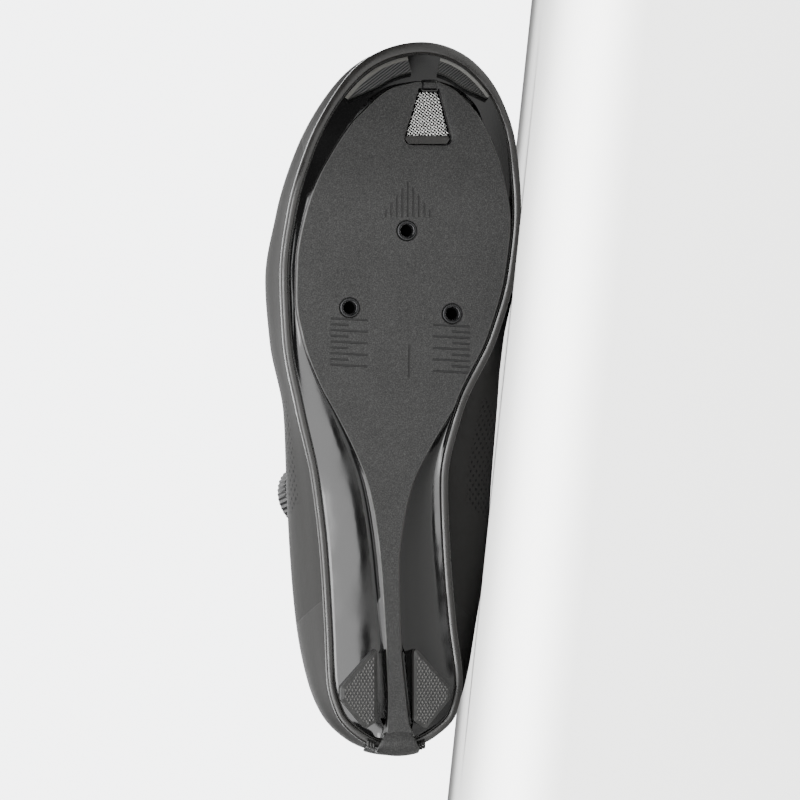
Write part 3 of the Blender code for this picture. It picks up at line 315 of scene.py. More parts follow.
PLATE = table("along  lateral  medial  wall  lateral_slot  medial_slot", [
    (0.020, -0.078, 0.078, 0.2, 0.0, 0.0),
    (0.035, -0.045, 0.050, 0.2, 0.0, 0.0),
    (0.045, -0.042, 0.040, 0.2, 0.0, 1.0),
    (0.050, -0.041, 0.036, 0.2, 1.0, 1.0),
    (0.077, -0.039, 0.027, 0.2, 1.0, 1.0),
    (0.148, -0.047, 0.007, 0.3, 1.0, 1.0),
    (0.157, -0.048, 0.006, 0.4, 0.0, 0.0),
    (0.204, -0.055, 0.002, 0.8, 0.0, 0.0),
    (0.267, -0.066, 0.000, 1.0, 0.0, 0.0),
    (0.330, -0.086, 0.020, 1.0, 0.0, 0.0),
    (0.383, -0.118, 0.055, 0.8, 0.0, 0.0),
    (0.428, -0.168, 0.114, 0.5, 0.0, 0.0),
    (0.475, -0.235, 0.190, 0.2, 0.0, 0.0),
    (0.527, -0.314, 0.278, 0.0, 0.0, 0.0),
    (0.583, -0.373, 0.348, 0.0, 0.0, 0.0),
    (0.639, -0.400, 0.396, 0.0, 0.0, 0.0),
    (0.695, -0.396, 0.419, 0.0, 0.0, 0.0),
    (0.751, -0.368, 0.427, 0.0, 0.0, 0.0),
    (0.800, -0.321, 0.407, 0.0, 0.0, 0.0),
    (0.843, -0.255, 0.378, 0.0, 0.0, 0.0),
    (0.885, -0.173, 0.326, 0.0, 0.0, 0.0),
    (0.900, -0.130, 0.300, 0.0, 0.8, 0.8),
    (0.914, -0.090, 0.271, 0.0, 1.0, 1.0),
    (0.932, -0.020, 0.216, 0.0, 0.5, 0.5),
    (0.941, 0.078, 0.164, 0.0, 0.0, 0.0),
])


def curve(places, values):
    """A smooth curve through the rows that never overshoots them."""
    steps = [b - a for a, b in zip(places, places[1:])]
    slopes = [(b - a) / step for a, b, step in zip(values, values[1:], steps)]
    tangents = [slopes[0]]
    for before, after in zip(slopes, slopes[1:]):
        tangents.append(2 * before * after / (before + after) if before * after > 0 else 0.0)
    tangents.append(slopes[-1])

    def at(place):
        place = min(max(place, places[0]), places[-1])
        i = max(k for k in range(len(steps)) if places[k] <= place)
        t = (place - places[i]) / steps[i]
        start = (1 + 2 * t) * (1 - t) ** 2 * values[i] + t * (1 - t) ** 2 * steps[i] * tangents[i]
        end = t * t * (3 - 2 * t) * values[i + 1] + t * t * (t - 1) * steps[i] * tangents[i + 1]
        return start + end

    return at


def turn(share):
    """Angle round an ellipse at this share of its long axis: it rounds the outline's ends."""
    return math.acos(1 - 2 * min(max(share, 0.0), 1.0))


def along_curve(source, name, scale):
    """A column of a table as a function of x."""
    at = curve(source["along"], source[name])
    return lambda x: scale * at(x / LENGTH)


def outline_curve(name):
    """A plan outline that closes roundly at heel and toe, as a function of its own share of the length."""
    at = curve([turn(share) for share in OUTLINE["along"]], OUTLINE[name])
    return lambda share: BALL_WIDTH * at(turn(share))


def station_share(i):
    """Share of the length at a station: close together at both ends and even between them."""
    u = i / STATIONS
    if u < END_SHARE:
        reached = u * u / (2 * END_SHARE)
    elif u > 1 - END_SHARE:
        reached = 1 - END_SHARE - (1 - u) ** 2 / (2 * END_SHARE)
    else:
        reached = u - END_SHARE / 2
    return reached / (1 - END_SHARE)


SHARES = [station_share(i) for i in range(STATIONS + 1)]
SIDES = [("lateral", i) for i in range(STATIONS + 1)]
SIDES += [("medial", i) for i in range(STATIONS - 1, 0, -1)]
AROUND = len(SIDES)


def plan_loop(lateral, medial, start, end):
    """Counter-clockwise plan outline: the lateral side from heel to toe, then the medial side back."""
    sides = {"lateral": lateral, "medial": medial}
    return [Vector((start + (end - start) * SHARES[i], sides[side](SHARES[i]))) for side, i in SIDES]


def outward(loop, k):
    """Outward direction of a counter-clockwise plan loop at a point."""
    along = loop[(k + 1) % len(loop)] - loop[k - 1]
    return Vector((along.y, -along.x)).normalized()


def offset_loop(loop, distance):
    """The loop moved outwards by a distance, point by point."""
    return [point + distance * outward(loop, k) for k, point in enumerate(loop)]


plate_arch = along_curve(PROFILE, "arch", ARCH_RISE)
plate_spring = along_curve(PROFILE, "spring", TOE_SPRING)
channel_drop = along_curve(PROFILE, "channel", CHANNEL_DEPTH)
lip_rise = along_curve(PROFILE, "lip", LIP_RISE)
stack = along_curve(PROFILE, "stack", HEEL_STACK)


def plate_height(x):
    return plate_arch(x) + plate_spring(x)


def footbed(x):
    return plate_height(x) + stack(x)


def rim_height(x):
    return plate_height(x) + channel_drop(x) + lip_rise(x) - RIM_BEAD


def inside(point, loop):
    """Whether a plan point lies inside a closed loop."""
    hit = False
    for k, a in enumerate(loop):
        b = loop[(k + 1) % len(loop)]
        if (a.y > point.y) != (b.y > point.y):
            if point.x < a.x + (point.y - a.y) * (b.x - a.x) / (b.y - a.y):
                hit = not hit
    return hit


def distance_to(point, loop):
    """Shortest distance from a plan point to a closed loop."""
    best = LENGTH
    for k, a in enumerate(loop):
        along = loop[(k + 1) % len(loop)] - a
        t = min(max((point - a).dot(along) / along.length_squared, 0.0), 1.0)
        best = min(best, (point - a - along * t).length)
    return best


def triangulate(outer, holes, spacing):
    """Plan points and triangles that fill a loop round its holes."""
    points = []
    edges = []
    loops = [outer] + holes
    for loop in loops:
        first = len(points)
        points += loop
        edges += [(first + k, first + (k + 1) % len(loop)) for k in range(len(loop))]
    low = Vector((min(p.x for p in outer), min(p.y for p in outer)))
    high = Vector((max(p.x for p in outer), max(p.y for p in outer)))
    for i in range(int((high.x - low.x) / spacing) + 1):
        for j in range(int((high.y - low.y) / spacing) + 2):
            point = low + Vector((i * spacing, (j + 0.5 * (i % 2)) * spacing))
            if inside(point, outer) and min(distance_to(point, loop) for loop in loops) > spacing * 0.4:
                points.append(point)
    _, _, faces, origin, _, _ = delaunay_2d_cdt([p.copy() for p in points], edges, [], 0, 1e-7)
    kept = []
    for face in faces:
        corners = [origin[i][0] for i in face]
        middle = sum((points[i] for i in corners), Vector((0, 0))) / len(corners)
        if inside(middle, outer) and not any(inside(middle, hole) for hole in holes):
            kept.append(corners)
    return points, kept


class Skin:
    """Vertices and faces of a piece as it is put together, ring by ring."""

    def __init__(self):
        self.vertices = []
        self.faces = []
        self.picks = []

    def ring(self, points):
        first = len(self.vertices)
        self.vertices += points
        return first

    def face(self, corners, pick):
        self.faces.append(corners)
        self.picks.append(pick)

    def strip(self, first, second, count, pick, wrap=True):
        """Quads between two rings."""
        for k in range(count if wrap else count - 1):
            nxt = (k + 1) % count
            self.face((first + k, second + k, second + nxt, first + nxt), pick)

    def rings(self, rings, picks, wrap=True):
        """Rings of points joined one to the next, with a pick for each strip or one for all."""
        if isinstance(picks, int):
            picks = [picks] * (len(rings) - 1)
        firsts = [self.ring(points) for points in rings]
        for a, b, pick in zip(firsts, firsts[1:], picks):
            self.strip(a, b, len(rings[0]), pick, wrap)
        return firsts

    def turn_over(self):
        """Make every face look the other way."""
        self.faces = [tuple(reversed(face)) for face in self.faces]

    def across(self, first, count, pick, turned=False):
        """Close a ring with quads from its lateral side to its medial side."""
        for i in range(count // 2):
            corners = [first + i, first + i + 1, first + (count - i - 1) % count, first + (count - i) % count]
            corners = [c for n, c in enumerate(corners) if c not in corners[:n]]
            self.face(list(reversed(corners)) if turned else corners, pick)

    def area(self, outer, holes, spacing, height, pick):
        """Underside over a plan area with holes; gives the first vertex of each of its loops."""
        points, triangles = triangulate(outer, holes, spacing)
        first = self.ring([Vector((p.x, p.y, height(p.x))) for p in points])
        for corners in triangles:
            self.face([first + i for i in reversed(corners)], pick)
        starts = [first]
        for loop in [outer] + holes:
            starts.append(starts[-1] + len(loop))
        return starts


SOLE_OUTLINE = plan_loop(outline_curve("sole_lateral"), outline_curve("sole_medial"),
                         SOLE_HEEL_SETBACK, LENGTH)
rim_breadth = curve([0.0, 0.90, 0.97, 1.0], [1.0, 1.0, 1.35, 1.45])


def rim_inset(inset):
    """The sole's outline moved inwards; the rim grows broader round the toe."""
    return [p - outward(SOLE_OUTLINE, k) * inset * rim_breadth(p.x / LENGTH)
            for k, p in enumerate(SOLE_OUTLINE)]


GROOVE_LOOP = rim_inset(RIM_WIDTH + RIM_STEP)


def plate_side(side):
    """Edge of the plate on one side, kept clear of the rim."""
    at = along_curve(PLATE, side, BALL_WIDTH)
    clear = RIM_WIDTH + RIM_STEP + PLATE_STEP + CHANNEL_MIN
    rim = offset_loop(SOLE_OUTLINE, -clear)
    bound = sorted((rim[k].x, rim[k].y) for k, (name, _) in enumerate(SIDES)
                   if name == side or k in (0, STATIONS))

    def edge(x):
        i = max(k for k in range(len(bound) - 1) if bound[k][0] <= x or k == 0)
        t = min(max((x - bound[i][0]) / max(bound[i + 1][0] - bound[i][0], FIT_GAP), 0.0), 1.0)
        limit = bound[i][1] + t * (bound[i + 1][1] - bound[i][1])
        return max(at(x), limit) if side == "lateral" else min(at(x), limit)

    return edge


plate_sides = {side: plate_side(side) for side in ("lateral", "medial")}
plate_start = PLATE["along"][0] * LENGTH
plate_end = PLATE["along"][-1] * LENGTH
plate_place = curve([0.0, 0.08, 0.85, 1.0], [plate_start, 23 * MM, 225.6 * MM, plate_end])
PLATE_EDGE = []
for side, i in SIDES:
    x = plate_place(SHARES[i])
    if i in (0, STATIONS):
        y = (plate_sides["lateral"](x) + plate_sides["medial"](x)) / 2
    else:
        y = plate_sides[side](x)
    PLATE_EDGE.append(Vector((x, y)))

keel_wall = along_curve(PLATE, "wall", KEEL_WALL)
slots = {side: along_curve(PLATE, side + "_slot", 1.0) for side in ("lateral", "medial")}
SLOT_WIDTH = 1.3 * MM
SLOT_DEPTH = 3.0 * MM
PLATE_CHAMFER = 0.55 * MM
CHAMFER_OUT = 0.7 * PLATE_CHAMFER
SHOULDER_SHARE = 0.75
SHOULDER_SLOPE = 1.0
plate_foot = []
slot_depths = []
for k, (point, (side, _)) in enumerate(zip(PLATE_EDGE, SIDES)):
    wall = PLATE_STEP + (keel_wall(point.x) if side == "lateral" else 0.0)
    plate_foot.append(point + wall * outward(PLATE_EDGE, k))
    slot_depths.append(SLOT_DEPTH * slots[side](point.x))
slot_edge = [point + (0.1 * MM + SLOT_WIDTH * depth / SLOT_DEPTH) * outward(plate_foot, k)
             for k, (point, depth) in enumerate(zip(plate_foot, slot_depths))]

RIM_ROWS = table("inset  drop", [
    (0.00, 1.20),
    (0.10, 0.80),
    (0.35, 0.45),
    (0.80, 0.15),
    (1.40, 0.00),
    (2.10, 0.05),
    (2.60, 0.25),
    (2.80, 0.60),
    (2.95, 1.35),
    (3.15, 1.35),
    (3.30, 0.85),
])
CHANNEL_ROWS = 16
lateral_channel = curve([0.0, 0.25, 0.5, 0.75, 1.0], [0.0, 0.15, 0.365, 0.65, 1.0])
medial_channel = curve([0.0, 0.3, 0.55, 0.65, 0.8, 1.0], [0.0, 0.62, 0.93, 0.95, 0.90, 0.74])
medial_share = curve([0.0, 0.04, 0.12, 0.55, 0.70, 1.0], [0.0, 0.0, 1.0, 1.0, 0.0, 0.0])

composite = Finish("composite_plate", (0.012, 0.012, 0.012), 0.52, {"Specular IOR Level": 0.28})
gloss = Finish("gloss_channel", (0.002, 0.002, 0.002), 0.12, {"Specular IOR Level": 0.36})
rim = Finish("rim_bead", (0.010, 0.0095, 0.009), 0.28, {"Specular IOR Level": 0.45})

along, across, _ = composite.place()


def marks(value, first, pitch, count, width):
    """Evenly spaced lines across a value."""
    line = (value - first).to_nearest(pitch).within(width, width * 0.6)
    return line * value.between(first - pitch / 2, first + (count - 0.5) * pitch)


MARK_WIDTH = 0.42
MARK_PITCH = 4.27
lean = along + 0.054 * across
ladders = marks(lean, 143.8, MARK_PITCH, 5, MARK_WIDTH) * across.between(-25.7, -11.9)
ladders = ladders.highest(marks(lean, 145.9, MARK_PITCH, 4, MARK_WIDTH) * across.between(-25.7, -19.0))
ladders = ladders.highest(marks(lean, 143.5, MARK_PITCH, 5, MARK_WIDTH) * across.between(12.3, 26.0))
ladders = ladders.highest(marks(lean, 145.6, MARK_PITCH, 4, MARK_WIDTH) * across.between(19.4, 26.0))
fan = marks(across, -5.2, 2.05, 9, MARK_WIDTH) * (along + 1.31 * abs(across - 3.0)).between(199.5, 212.9)
fan = fan * along.maths("GREATER_THAN", 199.5)
engraved = ladders.highest(fan).highest((across - 3.5).within(MARK_WIDTH, 0.2) * along.between(140.3, 152.6))
grain = composite.noise(0.45 * MM, 3.0)
patches = composite.noise(14 * MM, 3.0)
flecks = composite.noise(0.35 * MM, 1.0)
height = grain * 0.22 - engraved
# The light flecks are left out of the engraved lines, so the lines are painted darker: painted shade in their
# grooves. The flecks elsewhere are the plate's own tone.
flecks_and_groove_shade = composite.ramp(flecks, 0.35, 0.75, 0.0, 1.0) * (1 - engraved)
composite.wear({
    "Base Color": composite.tint(flecks_and_groove_shade, (0.021, 0.021, 0.0205), (0.0025, 0.0025, 0.0025)),
    "Roughness": composite.ramp(patches, 0.3, 0.7, 0.50, 0.62),
    "Normal": composite.relief(height, 0.22 * MM),
})
scuffs = gloss.noise(0.5 * MM, 2.0, (30, 1, 1))
gloss.wear({
    "Roughness": gloss.ramp(gloss.noise(18 * MM, 4.0), 0.3, 0.75, 0.08, 0.20),
    "Normal": gloss.relief(gloss.noise(16 * MM, 2.0) + scuffs * 0.02, 0.14 * MM),
})
rim.wear({
    "Roughness": rim.ramp(rim.noise(7 * MM, 3.0), 0.3, 0.7, 0.22, 0.40),
    "Normal": rim.relief(rim.noise(0.5 * MM), 0.03 * MM),
})
# The plate's chamfer is coloured lighter than the plate: a painted highlight along its edge.
edge = Finish("plate_edge_highlight", (0.030, 0.030, 0.029), 0.38)
edge.patchy(4 * MM, 0.30, 0.5, 3.0)


def circle(centre, radius, sides=48):
    """Round plan loop."""
    step = 2 * math.pi / sides
    return [centre + radius * Vector((math.cos(k * step), math.sin(k * step))) for k in range(sides)]


def rounded(corners, radii, steps=5):
    """Plan polygon with round corners."""
    loop = []
    for k, (corner, radius) in enumerate(zip(corners, radii)):
        before = (corners[k - 1] - corner).normalized()
        after = (corners[(k + 1) % len(corners)] - corner).normalized()
        reach = radius / math.tan(before.angle(after) / 2)
        for n in range(steps + 1):
            t = n / steps
            loop.append((corner + before * reach) * (1 - t) ** 2 + corner * 2 * t * (1 - t)
                        + (corner + after * reach) * t * t)
    return loop


def at_height(loop, height):
    """A plan loop drawn at a height above the ground."""
    return [Vector((p.x, p.y, height(p.x))) for p in loop]


def drop(depth):
    """Height of a surface that lies a depth inside the plate."""
    return lambda x: plate_height(x) + depth


INSERT_FRONT = Vector((0.734 * LENGTH, 0.027 * BALL_WIDTH))
INSERT_REAR_SETBACK = 29.5 * MM
INSERT_REAR_SPACING = 38 * MM
INSERT_LEAN = 1.1 * MM
INSERT_DIAMETER = 7.3 * MM
BORE_CHAMFER = 0.35 * MM
rear_middle = INSERT_FRONT - Vector((INSERT_REAR_SETBACK, 2 * INSERT_LEAN))
rear_half = Vector((-INSERT_LEAN, INSERT_REAR_SPACING / 2))
INSERTS = {
    "insert_front": INSERT_FRONT,
    "insert_rear_lateral": rear_middle - rear_half,
    "insert_rear_medial": rear_middle + rear_half,
}
VENT_CORNERS = [Vector((225.9 * MM, 0.8 * MM)), Vector((247.6 * MM, 7.9 * MM)),
                Vector((247.6 * MM, 15.6 * MM)), Vector((225.9 * MM, 20.4 * MM))]
VENT_CORNER_RADII = [3.2 * MM, 0.6 * MM, 0.6 * MM, 3.2 * MM]
VENT_WALL = 0.8 * MM
VENT_DEPTH = 3.4 * MM
VENT = rounded(VENT_CORNERS, VENT_CORNER_RADII)


def link(name, vertices, faces, finishes, picks=None, sharp=35):
    """One named piece, drawn upright and laid where the shoe lies; picks gives each face its finish.

    A point that would dip under the floor is set onto it.
    """
    mesh = bpy.data.meshes.new(name)
    laid = [lying @ v for v in vertices]
    mesh.from_pydata([(v.x, v.y, max(v.z, 0.0)) for v in laid], [], faces)
    for finish in finishes:
        mesh.materials.append(finish)
    if picks:
        mesh.polygons.foreach_set("material_index", picks)
    mesh.shade_smooth()
    mesh.set_sharp_from_angle(angle=math.radians(sharp))
    piece = bpy.data.objects.new(name, mesh)
    bpy.context.collection.objects.link(piece)
    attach(piece, "root")
    return piece


skin = Skin()
rings = [at_height(offset_loop(SOLE_OUTLINE, -3 * MM), footbed),
         at_height(offset_loop(SOLE_OUTLINE, -EDGE_ROUND), footbed),
         at_height(offset_loop(SOLE_OUTLINE, -0.3 * EDGE_ROUND), lambda x: footbed(x) - 0.3 * EDGE_ROUND),
         at_height(SOLE_OUTLINE, lambda x: footbed(x) - EDGE_ROUND)]
picks = [1, 1, 1, 1]
for inset, drop_mm in zip(RIM_ROWS["inset"], RIM_ROWS["drop"]):
    rings.append(at_height(rim_inset(inset * MM), lambda x: rim_height(x) + drop_mm * MM))
    picks.append(2)
for row in range(CHANNEL_ROWS + 1):
    out = 1 - row / CHANNEL_ROWS
    ring = []
    for rim_point, slot_point, (side, _) in zip(GROOVE_LOOP, slot_edge, SIDES):
        point = slot_point.lerp(rim_point, out)
        medial = medial_share(point.x / LENGTH) if side == "medial" else 0.0
        rise = medial * medial_channel(out) + (1 - medial) * lateral_channel(out)
        lift = channel_drop(point.x) + lip_rise(point.x) * rise
        ring.append(Vector((point.x, point.y, plate_height(point.x) + lift)))
    rings.append(ring)
    picks.append(1)
for share in (0.12, 1.0):
    ring = []
    for slot_point, foot_point, depth in zip(slot_edge, plate_foot, slot_depths):
        point = slot_point.lerp(foot_point, share)
        ring.append(Vector((point.x, point.y, plate_height(point.x) + channel_drop(point.x) + depth)))
    rings.append(ring)
    picks.append(1)
shoulder = []
for k, (point, foot_point) in enumerate(zip(PLATE_EDGE, plate_foot)):
    breadth = SHOULDER_SHARE * ((foot_point - point).length - CHAMFER_OUT)
    spot = point + (CHAMFER_OUT + breadth) * outward(PLATE_EDGE, k)
    shoulder.append(Vector((*spot, plate_height(spot.x) + PLATE_CHAMFER + SHOULDER_SLOPE * breadth)))
rings.append(shoulder)
picks.append(1)
rings.append(at_height(offset_loop(PLATE_EDGE, CHAMFER_OUT), drop(PLATE_CHAMFER)))
firsts = skin.rings(rings, picks)
skin.across(firsts[0], AROUND, 1)

# The bottoms of the bores and of the vent are closed with the near-black finish set below: painted shadow in
# these hollows.
bores = [circle(centre, INSERT_DIAMETER / 2 + BORE_CHAMFER) for centre in INSERTS.values()]
starts = skin.area(PLATE_EDGE, bores + [VENT], 3 * MM, plate_height, 0)
# The chamfer strip round the plate takes the lighter edge finish: painted highlight.
skin.strip(firsts[-1], starts[0], AROUND, 4)
for loop, start in zip(bores, starts[1:]):
    wall = skin.rings([at_height(offset_loop(loop, -BORE_CHAMFER), drop(BORE_CHAMFER)),
                       at_height(offset_loop(loop, -BORE_CHAMFER), drop(4 * MM))], [1])
    skin.strip(start, wall[0], len(loop), 0)
    skin.face([wall[1] + k for k in reversed(range(len(loop)))], 3)
wall = skin.rings([at_height(offset_loop(VENT, -0.25 * MM), drop(0.2 * MM)),
                   at_height(offset_loop(VENT, -VENT_WALL), drop(1.8 * MM)),
                   at_height(offset_loop(VENT, -VENT_WALL), drop(VENT_DEPTH))], [1, 1])
skin.strip(starts[4], wall[0], len(VENT), 1)
skin.face([wall[2] + k for k in reversed(range(len(VENT)))], 3)

# A near-black, fully rough sheet with no specular: painted shadow for the floors of the bores, the vent and
# the bridge's pocket.
shade = Finish("painted_hollow_shade", (0.001, 0.001, 0.001), 1.0, {"Specular IOR Level": 0.0})
shade.grained(1 * MM, 0.05 * MM)
outsole = link("outsole_shell", skin.vertices, skin.faces,
               [composite.material, gloss.material, rim.material, shade.material, edge.material], skin.picks)
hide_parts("outsole")

# Vent
# A trapezoid window ahead of the teardrop lets air in. A glossy ramp leads down to a square of woven
# steel wire that is clipped under a small black bridge at the front.
WIRE_PITCH = 0.92 * MM
WIRE_RADIUS = 0.15 * MM
WIRES = 16
WEAVE_TURN = math.radians(38)
MESH_DEPTH = 1.7 * MM
MESH_BACK = 229.6 * MM
MESH_FRONT = 246.0 * MM


def vent_side(x, side):
    """Side wall of the vent window at x."""
    back, front = (VENT_CORNERS[0], VENT_CORNERS[1]) if side < 0 else (VENT_CORNERS[3], VENT_CORNERS[2])
    t = (x - back.x) / (front.x - back.x)
    return back.y + t * (front.y - back.y) - side * VENT_WALL


def tube(skin, path, radius, sides, pick, level=Vector((0, 0, 1))):
    """Round rod along a path, with closed ends, added to a skin."""
    rings = []
    for n, point in enumerate(path):
        along = (path[min(n + 1, len(path) - 1)] - path[max(n - 1, 0)]).normalized()
        aside = along.cross(level).normalized()
        rise = aside.cross(along)
        step = 2 * math.pi / sides
        rings.append([point + aside * radius * math.cos(k * step) + rise * radius * math.sin(k * step)
                      for k in range(sides)])
    firsts = skin.rings(rings, pick)
    skin.face([firsts[0] + k for k in range(sides)], pick)
    skin.face([firsts[-1] + k for k in reversed(range(sides))], pick)


weave = Skin()
mesh_middle = Vector(((MESH_BACK + MESH_FRONT) / 2, (vent_side(MESH_BACK, -1) + vent_side(MESH_BACK, 1)) / 2))
for family in (0, 1):
    angle = WEAVE_TURN + family * math.pi / 2
    way = Vector((math.cos(angle), math.sin(angle)))
    aside = Vector((-way.y, way.x))
    for j in range(-WIRES, WIRES + 1):
        path = []
        for i in range(-2 * WIRES, 2 * WIRES + 1):
            spot = mesh_middle + aside * j * WIRE_PITCH + way * i * WIRE_PITCH / 2
            if MESH_BACK < spot.x < MESH_FRONT and vent_side(spot.x, -1) < spot.y < vent_side(spot.x, 1):
                wave = (1 - 2 * family) * math.cos(math.pi * (i / 2 + j)) * WIRE_RADIUS
                path.append(Vector((spot.x, spot.y, plate_height(spot.x) + MESH_DEPTH + wave)))
        if len(path) > 2:
            tube(weave, path, WIRE_RADIUS, 5, 0)

wire = Finish("bright_wire", (0.50, 0.50, 0.49), 0.3, {"Metallic": 1.0})
wire.patchy(0.6 * MM, 0.22, 0.4)
mesh_cloth = link("vent_weave", weave.vertices, weave.faces, [wire.material], None, 80)
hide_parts("vent_mesh")

sill = Skin()
ramp_rows = []
for x, depth in ((226.6, 0.45), (227.2, 0.75), (228.4, 1.25), (229.4, 1.62), (229.7, 1.9), (229.7, 3.2)):
    x = x * MM
    middle = (vent_side(x, -1) + vent_side(x, 1)) / 2
    narrowing = 3.0 * MM * max(0.0, (228.6 * MM - x) / (2.7 * MM)) ** 1.5
    half = (vent_side(x, 1) - vent_side(x, -1)) / 2 - narrowing
    ramp_rows.append([Vector((x, middle + half * (n / 6 - 1), plate_height(x) + depth * MM))
                      for n in range(13)])
sill.rings(ramp_rows, 0, wrap=False)
sill.turn_over()
ledge = link("vent_ramp", sill.vertices, sill.faces, [rim.material])
CLIP_BACK = 246.0 * MM
CLIP_FRONT = 250.6 * MM
bridge_loop = rounded([Vector((CLIP_BACK, 8.9 * MM)), Vector((CLIP_FRONT, 9.2 * MM)),
                       Vector((CLIP_FRONT, 15.2 * MM)), Vector((CLIP_BACK, 15.4 * MM))], [0.9 * MM] * 4)
bridge = Skin()
tops = bridge.rings([at_height(bridge_loop, drop(2.4 * MM)), at_height(bridge_loop, drop(0.35 * MM)),
                     at_height(offset_loop(bridge_loop, -0.3 * MM), drop(-0.05 * MM)),
                     at_height(offset_loop(bridge_loop, -0.7 * MM), drop(-0.2 * MM)),
                     at_height(offset_loop(bridge_loop, -1.3 * MM), drop(1.6 * MM))], 0)
# The pocket's floor takes the near-black finish: painted shadow.
bridge.face([tops[4] + k for k in reversed(range(len(bridge_loop)))], 1)
clip = link("vent_bridge", bridge.vertices, bridge.faces, [gloss.material, shade.material], bridge.picks)

# Cleat inserts
# Three steel nuts with a black finish are pressed through the plate, one under the ball and a pair
# behind it. Each shows a dark collar, a bright inner lip and an M5 thread that runs down into the dark.
THREAD_BORE = 4.7 * MM
THREAD_PITCH = 0.8 * MM
INSERT_PROFILE = [(3.60, 3.0), (3.60, 0.15), (3.45, -0.15), (3.05, -0.22), (2.85, -0.05), (2.78, 0.55),
                  (2.62, 0.62), (2.45, 0.45), (2.36, 0.62)]
black_steel = Finish("black_steel", (0.012, 0.012, 0.013), 0.25, {"Metallic": 0.6})
black_steel.grained(0.4 * MM, 0.02 * MM)
worn_steel = Finish("worn_steel", (0.30, 0.30, 0.30), 0.3, {"Metallic": 1.0})
worn_steel.patchy(0.8 * MM, 0.2, 0.5)

for name, centre in INSERTS.items():
    profile = [(r * MM, depth * MM) for r, depth in INSERT_PROFILE]
    picks = [0, 0, 0, 0, 0, 0, 1, 1]
    for n in range(8):
        depth = profile[-1][1]
        profile += [(THREAD_BORE / 2 + 0.12 * MM, depth + THREAD_PITCH / 2),
                    (THREAD_BORE / 2 - 0.2 * MM, depth + THREAD_PITCH)]
        picks += [0, 0]
    nut = Skin()
    turned_rings = [at_height(circle(centre, r, 40), lambda x: plate_height(centre.x) + depth)
                    for r, depth in profile]
    nut.rings(turned_rings, picks)
    piece = link(name + "_nut", nut.vertices, nut.faces,
                 [black_steel.material, worn_steel.material], nut.picks, 30)
    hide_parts(name)

# Rubber pads
# Walking pads in hard rubber are bonded to the sole: two curved bumpers in the groove round the toe,
# and a pair of three-cornered heel pads beside the keel, with a diamond tread cut into their faces.
TOE_PAD_WIDTH = 6.4 * MM
TOE_PAD_PROUD = 2 * MM
TOE_PAD_GAP = 9.6 * MM
TOE_PAD_BACK = 0.915 * LENGTH
TOE_PAD_TAPER = 0.75
HEEL_PAD_FRONT = 0.157 * LENGTH
HEEL_PAD_MIDDLE = -0.016 * BALL_WIDTH
HEEL_PAD_LENGTH = 31 * MM
HEEL_PAD_WIDTH = 13.5 * MM
HEEL_PAD_SPLIT = 13.5 * MM
HEEL_PAD_BEVEL = 1.2 * MM
HEEL_PAD_CORNER = 3 * MM
HEEL_PAD_HEEL_STEP = 4.5 * MM
TREAD_PITCH = 1.3
TREAD_LENGTH = 2.3
TREAD_DEPTH = 0.4 * MM
PAD_SEAT_GAP = 0.3 * MM


def surface(piece):
    """Search tree over a finished piece, upright again, for seating others on it."""
    standing = lying.inverted()
    return BVHTree.FromPolygons([standing @ v.co for v in piece.data.vertices],
                                [tuple(p.vertices) for p in piece.data.polygons])


under = surface(outsole)


def seat_under(point):
    """Height of the sole's underside over a plan point."""
    hit, _, _, _ = under.ray_cast(Vector((point.x, point.y, -LENGTH)), Vector((0, 0, 1)))
    return hit.z


rubber = Finish("pad_rubber", (0.010, 0.010, 0.0095), 0.5, {"Specular IOR Level": 0.4})
rubber.wear({
    "Roughness": rubber.ramp(rubber.noise(3 * MM, 3.0), 0.3, 0.7, 0.42, 0.6),
    "Normal": rubber.relief(rubber.noise(0.5 * MM, 3.0), 0.04 * MM),
})
ribbed_rubber = Finish("ribbed_rubber", (0.008, 0.008, 0.0075), 0.45, {"Specular IOR Level": 0.4})
along, across, _ = ribbed_rubber.place()
ribs = abs((along - 0.75 * across).to_nearest(1.1)) * 1.8
# The colour follows the rib height: the crests are painted lighter as highlight and the grooves darker as
# shade.
ribbed_rubber.wear({
    "Base Color": ribbed_rubber.tint(ribs, (0.022, 0.022, 0.021), (0.004, 0.004, 0.004)),
    "Normal": ribbed_rubber.relief(ribs + ribbed_rubber.noise(0.5 * MM) * 0.2, 0.4 * MM),
})
knurled_rubber = Finish("knurled_rubber", (0.008, 0.008, 0.0075), 0.42, {"Specular IOR Level": 0.45})
along, across, _ = knurled_rubber.place()
one_way = abs((along / TREAD_LENGTH + across / TREAD_PITCH).to_nearest(1.0)) * 2
other_way = abs((along / TREAD_LENGTH - across / TREAD_PITCH).to_nearest(1.0)) * 2
diamonds = one_way.maths("MINIMUM", other_way)
# The diamond tips are painted light and the grooves between them dark: painted highlight on the tips and
# painted shade in the grooves.
tip_highlights = knurled_rubber.ramp(diamonds, 0.3, 1.0, 0.0, 1.0)
knurled_rubber.wear({
    "Base Color": knurled_rubber.tint(tip_highlights, (0.085, 0.083, 0.078), (0.004, 0.004, 0.004)),
    "Normal": knurled_rubber.relief(diamonds, TREAD_DEPTH),
})
# The toe pads' outer bevel is coloured much lighter than the rubber: a painted highlight along the bevel.
bevel_highlight_rubber = Finish("pad_bevel_highlight", (0.055, 0.054, 0.050), 0.38)
bevel_highlight_rubber.grained(0.6 * MM, 0.05 * MM, 3.0)

